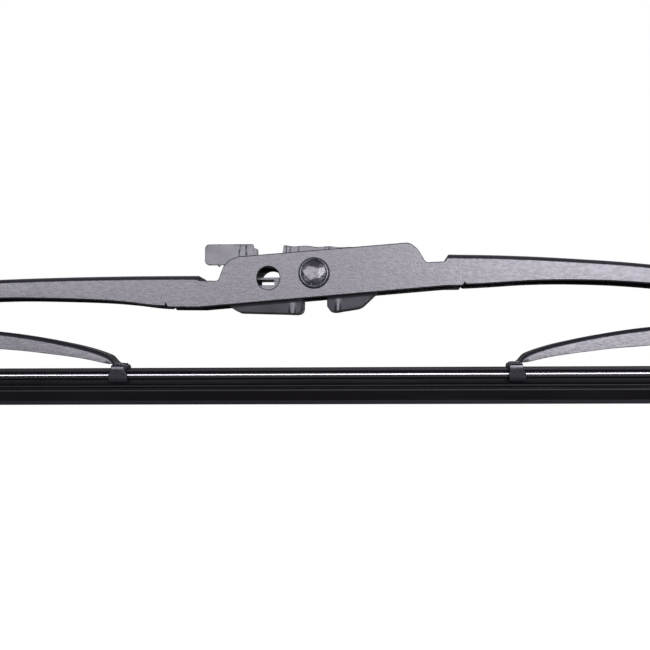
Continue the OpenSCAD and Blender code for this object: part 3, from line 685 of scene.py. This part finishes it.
# %% Side levers
LEVER = {"sheet": 1.0, "half": 5.0, "crest": 22.4, "depth": 5.4, "overhang": 4.6, "ear": 2.9,
         "back": [[0, 0.01], [0.0035, 0.04], [0.0155, 0.213], [0.025, 0.273], [0.043, 0.36],
                  [0.07, 0.466], [0.1, 0.558], [0.133, 0.65], [0.169, 0.735], [0.205, 0.808],
                  [0.237, 0.858], [0.3, 0.925], [0.38, 0.972], [0.47, 1], [0.66, 1],
                  [0.7, 0.98], [0.8, 0.88], [0.9, 0.75], [0.96, 0.69], [1, 0.68]],
         "deep": [[0, 0.06], [0.0035, 0.1], [0.0155, 0.46], [0.025, 0.53], [0.043, 0.585],
                  [0.07, 0.655], [0.1, 0.715], [0.133, 0.785], [0.169, 0.835], [0.205, 0.893],
                  [0.237, 0.93], [0.38, 0.965], [0.6, 1], [0.64, 0.99], [0.72, 0.87],
                  [0.85, 0.84], [0.93, 0.9], [1, 0.93]],
         "wide": [[0, 0.8], [0.02, 0.84], [0.05, 0.88], [0.1, 0.92], [0.4, 0.94], [0.7, 0.94],
                  [0.92, 1], [1, 1]]}


def lever_part(lip, flares):
    """A side lever towards +X: a tongue over the claw, the arched channel, strap and lip. The
    bend takes nearly the whole wall just beside the claw."""
    tip = YOKE_PIVOT[0] + LEVER["overhang"]
    crowded = CLAW_X + (tip - CLAW_X) * np.linspace(0, 1, 90) ** 1.9
    x = stations(CLAW_X, tip, 60, YOKE_PIVOT[0], LEVER["ear"], extra=crowded)
    share = (x - CLAW_X) / (tip - CLAW_X)
    back = between(CLAW_TOP, LEVER["crest"], curve(LEVER["back"], share))
    foot = back - LEVER["depth"] * curve(LEVER["deep"], share)
    foot = ear(foot, x, YOKE_PIVOT, LEVER["ear"])
    half = LEVER["half"] * curve(LEVER["wide"], share)
    near_claw = np.clip(1 - (x - CLAW_X - 3) / 5.5, 0, 1)
    tongue = block([INNER_CLAW_X - CLAW["w"] * 0.3, -LEVER["half"] * 0.8, CLAW["top"] + 0.25],
                   [INNER_CLAW_X + CLAW["w"] * 0.45, LEVER["half"] * 0.8, CLAW_PLATE_Z])
    return join(tapered_channel(x, half, back, foot, LEVER["sheet"], 0.45 + 0.5 * near_claw),
                tongue, neck_part(INNER_CLAW_X), claw_part(INNER_CLAW_X, flares),
                lip_part(INNER_CLAW_X, -1, lip))


for name, turn, lip, flares in (("left", -1, WIDE_LIP, (0.8, 0.85)),
                                ("right", 1, THIN_LIP, (0.05, 0.95))):
    part = on_side(lever_part(lip, flares), turn)
    soften(put_piece(f"{name}_side_lever", part, enamel, "lever_paint", f"{name}_lever",
                     [f"{name}_lever"]), SOFT_EDGE)

# %% [markdown]
# ## The yokes
# Beyond the photograph each side lever ends on a yoke: a short channel, highest at its pivot,
# with a claw at either end.

# %% Yokes
YOKE = {"sheet": 0.9, "half": 3.25, "crest": 16.5, "depth": 4.2, "ear": 2.3,
        "back": [[0, 1], [0.15, 1], [0.3, 0.95], [0.5, 0.79], [0.7, 0.52], [0.85, 0.25],
                 [0.95, 0.06], [1, 0]],
        "deep": [[0, 1], [0.2, 0.97], [0.5, 0.8], [0.8, 0.55], [0.93, 0.3], [1, 0.14]],
        "wide": [[0, 0], [0.15, 0], [0.4, 0.3], [0.8, 0.9], [1, 1]]}


def yoke_part():
    """A yoke towards +X: a channel between its two claws."""
    x = stations(YOKE_PIVOT[0] - YOKE_REACH - CLAW["w"] / 3,
                 YOKE_PIVOT[0] + YOKE_REACH + CLAW["w"] / 3, 90, YOKE_PIVOT[0], YOKE["ear"])
    share = np.minimum(np.abs(x - YOKE_PIVOT[0]) / YOKE_REACH, 1)
    back = between(CLAW_PLATE_Z, YOKE["crest"], curve(YOKE["back"], share))
    foot = ear(back - YOKE["depth"] * curve(YOKE["deep"], share), x, YOKE_PIVOT, YOKE["ear"])
    half = between(YOKE["half"], CLAW["half"] - 0.2, curve(YOKE["wide"], share))
    parts = [tapered_channel(x, half, back, foot, YOKE["sheet"], 0.45)]
    for way in (-1, 1):
        claw_x = YOKE_PIVOT[0] + way * YOKE_REACH
        parts += [claw_part(claw_x), lip_part(claw_x, -way, WIDE_LIP), neck_part(claw_x)]
    return join(*parts)


for name, turn in SIDES:
    soften(put_piece(f"{name}_yoke_channel", on_side(yoke_part(), turn), enamel, "lever_paint",
                     f"{name}_yoke", [f"{name}_yoke"]), SOFT_EDGE)

# %% [markdown]
# ## Rivets
# A rivet's head is hammered over, so it is a dome with flats and dents. It is turned about
# the rivet's axis from a profile, and then the dome gives way to the lowest of many planes that
# nearly touch it, which leaves flats with soft ridges between them.

# %% Turned pieces across the blade


def turned(profile, x, z, count=72):
    """A surface of revolution about Y: each row of the profile is a radius and a place in Y."""
    angle = np.linspace(0, 2 * math.pi, count, endpoint=False)
    radius, y = np.array(profile, float).T
    corners = np.stack([x + radius[:, None] * np.cos(angle), np.repeat(y[:, None], count, 1),
                        z + radius[:, None] * np.sin(angle)], -1)
    return corners.reshape(-1, 3), [grid_quads(len(radius), count, wrap=True)]


def head_profile(radius, height, seat, count=26):
    """A low dome from its pole to its rim: radius sin(t) ^ 0.8 and height cos(t) ^ 0.7, with a
    fine undercut between the rim and the sheet."""
    t = np.linspace(0, math.pi / 2, count)
    r = radius * np.sin(t) ** 0.8
    y = seat + 0.3 + (height - 0.3) * np.cos(t) ** 0.7
    return [*zip(r, y), (radius, seat + 0.22), (radius - 0.3, seat + 0.02)]


def rivet_part(x, z, shank, half, radius, height):
    """A whole rivet: near head, shank and far head."""
    near = head_profile(radius, height, half)
    profile = [(r, -y) for r, y in near] + [(shank, -half), (shank, half)] \
        + [(r, y) for r, y in reversed(near)]
    return turned(profile, x, z)


def hammered(corners, centre, seat, height, radius, seed, flats=60, depth=0.17):
    """Gives a dome its flats: inside the rim the height over the seat goes down to the lowest of
    some planes that touch the dome at seeded random places, each a little tilted."""
    draw = np.random.default_rng(seed)
    place = corners[:, [0, 2]] - centre
    side = np.sign(corners[:, 1])
    over = np.abs(corners[:, 1]) - seat
    reach = radius * np.sqrt(draw.uniform(0.0, 0.6, flats))
    turn = draw.uniform(0, 2 * math.pi, flats)
    touch = np.column_stack([reach * np.cos(turn), reach * np.sin(turn)])
    bulge = 0.6 * height / radius ** 2
    level = height - bulge * (touch ** 2).sum(1) + draw.uniform(-depth, 0.06, flats)
    slope = -2 * bulge * touch + draw.uniform(-depth, depth, (flats, 2))
    planes = level + ((place[:, None, :] - touch) * slope).sum(-1)
    inside = np.clip((0.86 * radius - np.linalg.norm(place, axis=1)) / (0.12 * radius), 0, 1)
    moved = between(over, np.minimum(over, planes.min(1)), inside)
    corners = corners.copy()
    corners[:, 1] = np.where(over > 0.3, side * (seat + np.maximum(moved, 0.35)), corners[:, 1])
    return corners


# %% Rivets in their places
RIVET = {"shank": 2.2, "radius": 4.3, "height": 1.5}
corners, faces = rivet_part(0, RIVET_Z, RIVET["shank"], PRIMARY["tower_half"], RIVET["radius"],
                            RIVET["height"])
corners = hammered(corners, np.array([0, RIVET_Z]), PRIMARY["tower_half"], RIVET["height"],
                   RIVET["radius"], seed=5)
put_piece("tower_rivet", (corners, faces), rivet_finish, "rivet_steel", "primary",
          ["centre_rivet"], sharp_deg=38)
SMALL_RIVETS = [("lever", "primary", LEVER_PIVOT, 1.9, PRIMARY["end_half"], 3.1),
                ("yoke", "lever", YOKE_PIVOT, 1.3, LEVER["half"], 2.1)]
for side, turn in SIDES:
    for kind, carrier, pivot, shank, half, radius in SMALL_RIVETS:
        part = rivet_part(turn * pivot[0], pivot[2], shank, half, radius, 0.9)
        body = carrier if carrier == "primary" else f"{side}_{carrier}"
        put_piece(f"{side}_{kind}_pin", part, rivet_finish, "rivet_steel", body,
                  [f"{side}_{kind}_rivet"], sharp_deg=38)

# %% Sleeve on the tower's rivet
sleeve = turned([(2.25, -5.8), (2.9, -5.8), (3.0, -5.7), (3.0, 5.7), (2.9, 5.8), (2.25, 5.8),
                 (2.25, -5.8)], 0, RIVET_Z)
put_piece("sleeve_tube", sleeve, acetal, "liner_plastic", "primary", ["rivet_sleeve"],
          sharp_deg=40)

# %% [markdown]
# ## Liners
# A folded strip of acetal keeps the steel channels from rattling at each pivot. It is a short
# channel of its own that wraps the inner lever's back.

# %% Liners
LINER_T = 0.5


def liner_part(pivot, half_x, inner_half, inner_top, foot):
    """A short channel round the lever inside it."""
    x = pivot[0] + np.linspace(-half_x, half_x, 12)
    whole = np.ones_like(x)
    return sheet_mesh(*channel_skins(x, (inner_half + LINER_T) * whole,
                                     (inner_top + LINER_T) * whole, foot * whole, LINER_T))


LINERS = [("lever", "lever", LEVER_PIVOT, 4.6, LEVER["half"] * 0.94 + 0.1, LEVER["crest"] + 0.1,
           LEVER["crest"] - LEVER["depth"]),
          ("yoke", "yoke", YOKE_PIVOT, 3.8, YOKE["half"] + 0.1, YOKE["crest"] + 0.1,
           YOKE["crest"] - YOKE["depth"])]
for side, turn in SIDES:
    for kind, body, pivot, half_x, half, top, foot in LINERS:
        part = on_side(liner_part(pivot, half_x, half, top, foot), turn)
        put_piece(f"{side}_{kind}_strap", part, acetal, "liner_plastic", f"{side}_{body}",
                  [f"{side}_{kind}_liner"], sharp_deg=30)

# %% [markdown]
# ## The hook adapter
# A moulded clip fills the tower. Only its tab, the ribbed grips over the tower's edge, the two
# feet under it and a tongue behind the side hole can be seen from the side. Each of those is a
# panel: a sheet between two lines along X, whose near face may lean, swell or be grooved. The
# feet lean in towards the bottom, so they mirror the dark below and look darker than the tab.

# %% Panels


def panel(x, low, high, face, back, rows=14):
    """A thick panel: columns along X between the lines low and high, with the near face at
    face(x, z) and the far face at back(x, z)."""
    share = np.linspace(0, 1, rows)
    along = np.repeat(x[:, None], rows, 1)
    up = low[:, None] + (high - low)[:, None] * share
    near = np.stack([along, face(along, up), up], -1)
    far = np.stack([along, back(along, up), up], -1)
    return sheet_mesh(near, far)


def line(rows, x):
    """Heights at places x along an outline that runs to the right."""
    points = rounded(rows, closed=False)
    return np.interp(x, points[:, 0], points[:, 1])


# %% Adapter: sizes
ADAPTER_HALF, WALL = 5.5, 0.9
CORE_TOP, CORE_FOOT = RIVET_Z + 3.2, RIVET_Z - 5.4
SLOT_FOOT = CORE_FOOT - 4.4
GRIP_Z, TAB_TOP, TAB_FOOT = CORE_TOP + 4.7, CORE_TOP + 5.15, CORE_TOP - 0.65
TAB, STEP = (-30.3, -16.7), (-15.85, CORE_TOP + 3.9)
FEET_TOP = SLOT_FOOT + 2.7


def groove(x, z, x_low, x_high, z_low, z_high, depth=0.16, width=0.14):
    """A fine groove along a slanted line: depth times a bell of the distance from it."""
    at = x_low + (x_high - x_low) * (z - z_low) / (z_high - z_low)
    return depth * np.exp(-((x - at) / width) ** 2)


ARC = 1 - np.cos(np.radians([0, 30, 50, 70, 90]))
SEAM_FOOT = [seam(arm)[0] for arm in (LEFT_ARM, RIGHT_ARM)]


def below_plate(x, z):
    """How far a place is below the lower edge of the tower's plates."""
    return np.interp(x, [-LEFT_ARM["web"], RIGHT_ARM["web"]], SEAM_FOOT) - z


def tab_part(side):
    """One wall of the tab, a fork at the far end of the upper slot, with two grooves. The wall
    that the viewer doesn't face is a little shorter at its foot."""
    foot_z = TAB_FOOT + (1.3 if side > 0 else 0)
    fine = [g + np.linspace(-0.6, 0.6, 13) for g in (-20.9, -18.8)]
    x = np.unique(np.concatenate([np.linspace(TAB[0] + 1.45, TAB[1] - 0.85, 36), *fine,
                                  TAB[0] + 1.2 * ARC, TAB[1] - 0.6 * ARC]))
    low = line([[TAB[0], 41.5, 0], [TAB[0], foot_z, 1.2], [TAB[1], foot_z, 0]], x)
    high = line([[TAB[0], 41.5, 0], [TAB[0], TAB_TOP, 1.2], [TAB[1], TAB_TOP - 0.05, 0.6],
                 [TAB[1] + 0.01, 41, 0]], x)
    low[0], high[0] = foot_z + 1.2, TAB_TOP - 1.2
    high[-1] = TAB_TOP - 0.65

    def face(u, v):
        return side * (ADAPTER_HALF - groove(u, v, -21.25, -20.55, 39, 44)
                       - groove(u, v, -18.65, -18.95, 39, 44))

    return panel(x, low, high, face, lambda u, v: 0 * u + side * (ADAPTER_HALF - WALL), rows=12)


def grip_part():
    """The ribbed grips: a cheek whose top dips between ribs, with a groove at each rib."""
    ribs = np.array([-7.9, -6.8, -4.5, 3.9])
    x = np.unique(np.concatenate([np.linspace(-8.9, 18.3, 60),
                                  *[r + np.linspace(-0.4, 0.4, 9) for r in ribs]]))
    low = np.full_like(x, CORE_TOP)
    dips = 0.14 * np.cos((x + 8.9) * 2 * math.pi / 6.5) - 0.1
    high = GRIP_Z - 0.035 * (x + 8) + dips * np.clip((14 - x) / 10, 0, 1)
    high = np.minimum(high, CORE_TOP + 1.5 + (x + 8.9) * 7)
    high = np.minimum(high, GRIP_Z - np.clip(x - 15.4, 0, None) ** 2 * 0.35)

    def face(u, v):
        return -ADAPTER_HALF + sum(groove(u, v, r, r + 0.15, CORE_TOP, GRIP_Z, 0.12, 0.13)
                                   for r in ribs)

    return panel(x, low, high, face, lambda u, v: face(u, v) + WALL, rows=10)


def lean(drop, slope, shelf=0.5):
    """How far a foot's face has gone in at a drop below the plate's edge: an undercut of half a
    millimetre in smooth steps, then a straight slope."""
    t = np.clip((drop + 0.35) / 1.1, 0, 1)
    return shelf * t * t * (3 - 2 * t) + slope * np.clip(drop, 0, None)


def left_foot_part():
    """The long left foot with a round lower right corner and a rib that stands upright."""
    rows = [[-24.2, 28.9, 0], [-23.6, 27.2, 0.5], [-21.3, 25.65, 0.8], [-3.2, 25.05, 1.7],
            [-3.2, 28.9, 0]]
    x = np.unique(np.concatenate([np.linspace(-24.2, -7.9, 32), np.linspace(-7.6, -5.2, 9),
                                  -3.2 - 1.7 * ARC]))
    low = line(rows, x)
    low[-1] = 26.75
    high = np.full_like(x, FEET_TOP)

    def face(u, v):
        upright = 0.8 * np.exp(-((u + 6.2) / 0.85) ** 4)
        turned_away = 0.16 * np.clip(u + 5.2, 0, None) ** 2
        return -ADAPTER_HALF + lean(below_plate(u, v), 0.22 * (1 - upright)) + turned_away

    return panel(x, np.minimum(low, high - 0.3), high, face, lambda u, v: face(u, v) * 0 - 1.5,
                 rows=26)


def right_foot_part():
    """The short right foot, whose lower edge sweeps up to the right."""
    rows = [[3.4, 30.6, 0], [3.4, 25.3, 2.0], [12.9, 26.75, 4.0], [17.3, 31.0, 0]]
    x = np.unique(np.concatenate([np.linspace(5.75, 17.3, 38), 3.4 + 2.0 * ARC]))
    low = line(rows, x)
    low[0] = 27.0
    high = np.full_like(x, FEET_TOP + 2.8)

    def face(u, v):
        upright = 0.8 * np.exp(-((u - 6.4) / 0.7) ** 4)
        return -ADAPTER_HALF + lean(below_plate(u, v), 0.22 * (1 - upright)) \
            + 0.12 * np.clip(4.6 - u, 0, None) ** 2

    return panel(x, np.minimum(low, high - 0.3), high, face, lambda u, v: face(u, v) * 0 - 1.5,
                 rows=30)


# %% Adapter: mesh
def slab(rows, half):
    """A block with an outline in X and Z across the middle of the blade."""
    return plate(rounded(rows), [], -half, half)


cheek = plate(rounded([
    [-23.7, FEET_TOP, 0], [-3.3, FEET_TOP, 0], [-3.3, CORE_FOOT, 0.6], [3.2, CORE_FOOT, 0.6],
    [3.2, FEET_TOP + 1, 0], [17.2, FEET_TOP + 2, 0.5], [18.3, CORE_FOOT + 1, 2],
    [18.3, CORE_TOP + 0.5, 0], [-8.9, CORE_TOP + 0.5, 0], [-9, CORE_TOP + 1.2, 0.3],
    [-17, CORE_TOP + 1.2, 0], [-17, CORE_TOP - 0.6, 0], [-8, CORE_TOP - 0.6, 1],
    [-8, CORE_FOOT + 2.3, 1],
    [-23.7, CORE_FOOT + 2.3, 1]]), [], -ADAPTER_HALF + 0.05, -ADAPTER_HALF + WALL)
HOOK_HALF = ADAPTER_HALF - WALL + 0.2


def step_part(side):
    """The low step at the tab's end; the far one is a little shorter."""
    end = STEP[0] - (1.0 if side > 0 else 0)
    return plate(rounded([[TAB[1] - 0.5, CORE_TOP, 0], [end, CORE_TOP, 0], [end, STEP[1], 0.4],
                          [TAB[1] - 0.5, STEP[1] + 0.1, 0]]), [],
                 side * (ADAPTER_HALF - 0.12), side * (ADAPTER_HALF - WALL))


core = join(slab([[-8, CORE_FOOT, 0.5], [12, CORE_FOOT, 0], [12, CORE_TOP, 0],
                  [-8, CORE_TOP, 0.5]], HOOK_HALF),
            turned([(0, -HOOK_HALF), (4.3, -HOOK_HALF), (4.3, HOOK_HALF), (0, HOOK_HALF)],
                   12, (CORE_TOP + CORE_FOOT) / 2))
floors = join(slab([[-25.5, CORE_TOP - 0.6, 0.3], [-7, CORE_TOP - 0.6, 0], [-7, CORE_TOP, 0],
                    [-25.5, CORE_TOP, 0.3]], HOOK_HALF),
              slab([[-20.9, 26.6, 0], [-5.2, 26.4, 0], [-5.2, SLOT_FOOT, 0],
                    [-21.8, SLOT_FOOT, 0]], 4.2))
tongue = slab([[-21.9, 34.5, 0.2], [-11.4, 34.5, 0.2], [-11, 32.4, 0.2], [-7, 32.4, 0],
               [-7, 35.2, 0], [-21.9, 35.2, 0.2]], 3.6)
nub = plate(rounded([[-26.9, CORE_TOP - 0.5, 0], [-25.9, CORE_TOP - 0.5, 0],
                     [-26.2, CORE_TOP - 1.1, 0.15], [-26.6, CORE_TOP - 1.1, 0.15]]), [],
            -ADAPTER_HALF + 0.1, -ADAPTER_HALF + WALL)
sides = join(cheek, grip_part(), left_foot_part(), right_foot_part())
adapter = put_piece("hook_adapter_clip", join(sides, mirrored(sides, 1), tab_part(-1),
                                              tab_part(1), step_part(-1), step_part(1), core,
                                              floors, tongue, nub),
                    nylon, "adapter_plastic", "adapter", ["hook_adapter"])
soften(adapter, SOFT_EDGE)

# %% [markdown]
# ## The rubber strip and its rails
# The strip is extruded, so it is one section carried along X: a head with a slot for each
# rail, a neck that the claws reach into, a thin flange, shoulders, and the wiping lip. It has
# to bend with the levers, so it is made in lengths, and a claw or the rivet sits where two
# lengths meet. A length between two bodies rides on neither; each end length rides on its yoke.

# %% Strip: section
RAIL_Z, RAIL_T, RAIL_W, RAIL_IN = 8.12, 0.45, 2.2, 1.0
HALF_SECTION = [
    [0.0, 0.0, 0], [0.36, 0.0, 0.12], [0.42, 1.15, 0.5], [1.9, 3.75, 0.3], [1.9, 4.3, 0.2],
    [0.55, 4.42, 0.1], [0.55, 4.78, 0.1], [2.62, 4.9, 0.22], [2.66, 5.42, 0.2],
    [1.75, 5.75, 0.3], [1.15, 7.1, 0.2], [2.65, 7.2, 0.25], [2.85, 7.4, 0.2], [2.9, 8.07, 0.06],
    [RAIL_IN, 8.1, 0], [RAIL_IN, 8.9, 0], [2.45, 8.95, 0.08], [2.8, 9.3, 0.15],
    [2.8, RUBBER_H, 0.3], [0.0, RUBBER_H, 0]]
half_line = rounded(HALF_SECTION, closed=False, turn_deg=22)
section = np.concatenate([half_line, (half_line * [-1, 1])[-2:0:-1]])
print("rubber section:", len(section), "points")


def swept(outline_yz, x):
    """A closed section carried along X, with an n-sided face at each end."""
    n = len(outline_yz)
    rings = np.stack([np.repeat(x[:, None], n, 1), np.tile(outline_yz[:, 0], (len(x), 1)),
                      np.tile(outline_yz[:, 1], (len(x), 1))], -1)
    ends = np.array(tessellate_polygon([[Vector((p[0], p[1], 0)) for p in outline_yz]]))
    return rings.reshape(-1, 3), [grid_quads(len(x), n, wrap=True), ends,
                                  ends[:, ::-1] + (len(x) - 1) * n]


# %% Strip and rails, in lengths between the bodies
strip_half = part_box("rubber_strip")[1][0] / MM
rail_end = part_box("front_rail")[1][0] / MM
inner_claw, yoke_claw = CLAW_X, YOKE_PIVOT[0] - YOKE_REACH
LENGTHS = []
for side, turn in SIDES:
    LENGTHS += [(f"{side}_middle", turn, 0.0, inner_claw, "primary", f"{side}_lever"),
                (f"{side}_span", turn, inner_claw, yoke_claw, f"{side}_lever", f"{side}_yoke"),
                (f"{side}_end", turn, yoke_claw, strip_half, f"{side}_yoke", None)]
rail_outline = rounded([[RAIL_IN, RAIL_Z, 0], [RAIL_IN + RAIL_W, RAIL_Z, 0.1],
                        [RAIL_IN + RAIL_W, RAIL_Z + RAIL_T, 0.2], [RAIL_IN, RAIL_Z + RAIL_T, 0]],
                       turn_deg=22)
for label, turn, start, end, near_body, far_body in LENGTHS:
    for kind, outline_yz, last, finish_of, slot in (
            ("rubber", section, end, rubber, "strip_rubber"),
            ("front_rail", rail_outline * [-1, 1], min(end, rail_end), steel, "rail_steel"),
            ("rear_rail", rail_outline, min(end, rail_end), steel, "rail_steel")):
        x = turn * np.linspace(start, last, max(8, int((last - start) / 2.5)))
        node = "rubber_strip" if kind == "rubber" else kind
        piece = put_piece(f"{label}_{kind}", swept(outline_yz, x), finish_of, slot,
                          None if far_body else near_body, [node], sharp_deg=35)
        if far_body:
            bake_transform(piece)

# %% [markdown]
# ## Floor, light and camera
# The picture is a product shot on pure white. A pale floor lies well below the blade. Two
# broad soft lights stand behind the camera: upright satin faces mirror them and turn grey, while
# bends and undersides look at the dim room and stay dark. The camera stands close, a little
# right of the middle, and looks slightly left and up.

# %% Stage
FLOOR_Z = -220.0


def pale_floor():
    """A matt white floor that glows a little, so that it stays as pale as the backdrop."""
    material, tree, shader, place = start_material("pale_floor", Roughness=0.9)
    cloud = waves(tree, place, 400, 1).outputs["Fac"]
    tree.links.new(tint(tree, cloud, "#fdfdfd", "#ffffff"), shader.inputs["Base Color"])
    shader.inputs["Emission Color"].default_value = linear("#ffffff")
    shader.inputs["Emission Strength"].default_value = 1.0
    return material


def floor_mesh(size=6000.0, count=9):
    """A square sheet well below the blade."""
    side = np.linspace(-size, size, count)
    x, y = np.meshgrid(side, side, indexing="ij")
    return np.stack([x, y, np.full_like(x, FLOOR_Z)], -1).reshape(-1, 3), [grid_quads(count, count)]


corners, faces = floor_mesh()
mesh = bpy.data.meshes.new("floor")
mesh.from_pydata((corners * MM).tolist(), [], faces[0][:, ::-1].tolist())
floor = bpy.data.objects.new("floor", mesh)
bpy.context.scene.collection.objects.link(floor)
floor.data.materials.append(pale_floor())
floor.visible_diffuse = False
floor.visible_glossy = False

# %% World and lights
world = bpy.data.worlds.new("studio")
bpy.context.scene.world = world
world.use_nodes = True
sky = world.node_tree
sky.nodes.clear()
room = add_node(sky, "ShaderNodeBackground", {"Color": linear("#ffffff"), "Strength": 0.14})
white = add_node(sky, "ShaderNodeBackground", {"Color": linear("#ffffff"), "Strength": 1.0})
seen = add_node(sky, "ShaderNodeLightPath").outputs["Is Camera Ray"]
mixed = add_node(sky, "ShaderNodeMixShader", {"Fac": seen})
sky.links.new(room.outputs["Background"], mixed.inputs[1])
sky.links.new(white.outputs["Background"], mixed.inputs[2])
add_node(sky, "ShaderNodeOutputWorld", {"Surface": mixed.outputs["Shader"]})


def soft_light(name, place, target, size, size_y, radiance):
    """A rectangular lamp that faces a point; its power is pi x area x radiance. Its light is a
    little violet, as the greys of the picture are."""
    lamp = bpy.data.lights.new(name, "AREA")
    lamp.color = (0.93, 0.89, 1.0)
    lamp.shape = "RECTANGLE"
    lamp.size, lamp.size_y = size, size_y
    lamp.energy = math.pi * size * size_y * radiance
    holder = bpy.data.objects.new(name, lamp)
    bpy.context.scene.collection.objects.link(holder)
    holder.location = place
    holder.rotation_euler = (Vector(target) - Vector(place)).to_track_quat("-Z", "Y").to_euler()
    return holder


soft_light("front_softbox", (-0.35, -1.0, 0.2), (0, 0, 0.03), 0.8, 0.36, 13.2)
soft_light("front_right_softbox", (0.42, -1.0, 0.2), (0, 0, 0.03), 0.72, 0.4, 24.0)
soft_light("rear_softbox", (-0.1, 0.9, 1.1), (0, 0, 0.03), 1.4, 0.5, 1.2)
soft_light("top_softbox", (0.0, 0.1, 1.2), (0, 0, 0.03), 1.2, 0.5, 0.6)

# %% Camera
FOCAL_PX, PICTURE_PX, SENSOR_MM = 978.0, 650, 36.0
CAMERA = {"place": (15.47, -272.7, 8.6), "yaw": 2.7, "pitch": 2.83, "roll": -0.2}
camera_data = bpy.data.cameras.new("camera")
camera_data.sensor_width = SENSOR_MM
camera_data.lens = FOCAL_PX / PICTURE_PX * SENSOR_MM
camera_data.clip_start, camera_data.clip_end = 0.01, 30
camera = bpy.data.objects.new("camera", camera_data)
bpy.context.scene.collection.objects.link(camera)
camera.matrix_world = (
    Matrix.Translation(Vector(CAMERA["place"]) * MM)
    @ Matrix.Rotation(math.radians(CAMERA["yaw"]), 4, "Z")
    @ Matrix.Rotation(math.radians(90 + CAMERA["pitch"]), 4, "X")
    @ Matrix.Rotation(math.radians(CAMERA["roll"]), 4, "Z"))
bpy.context.scene.camera = camera
bpy.context.scene.view_settings.view_transform = "Standard"
print("camera lens:", round(camera_data.lens, 2))
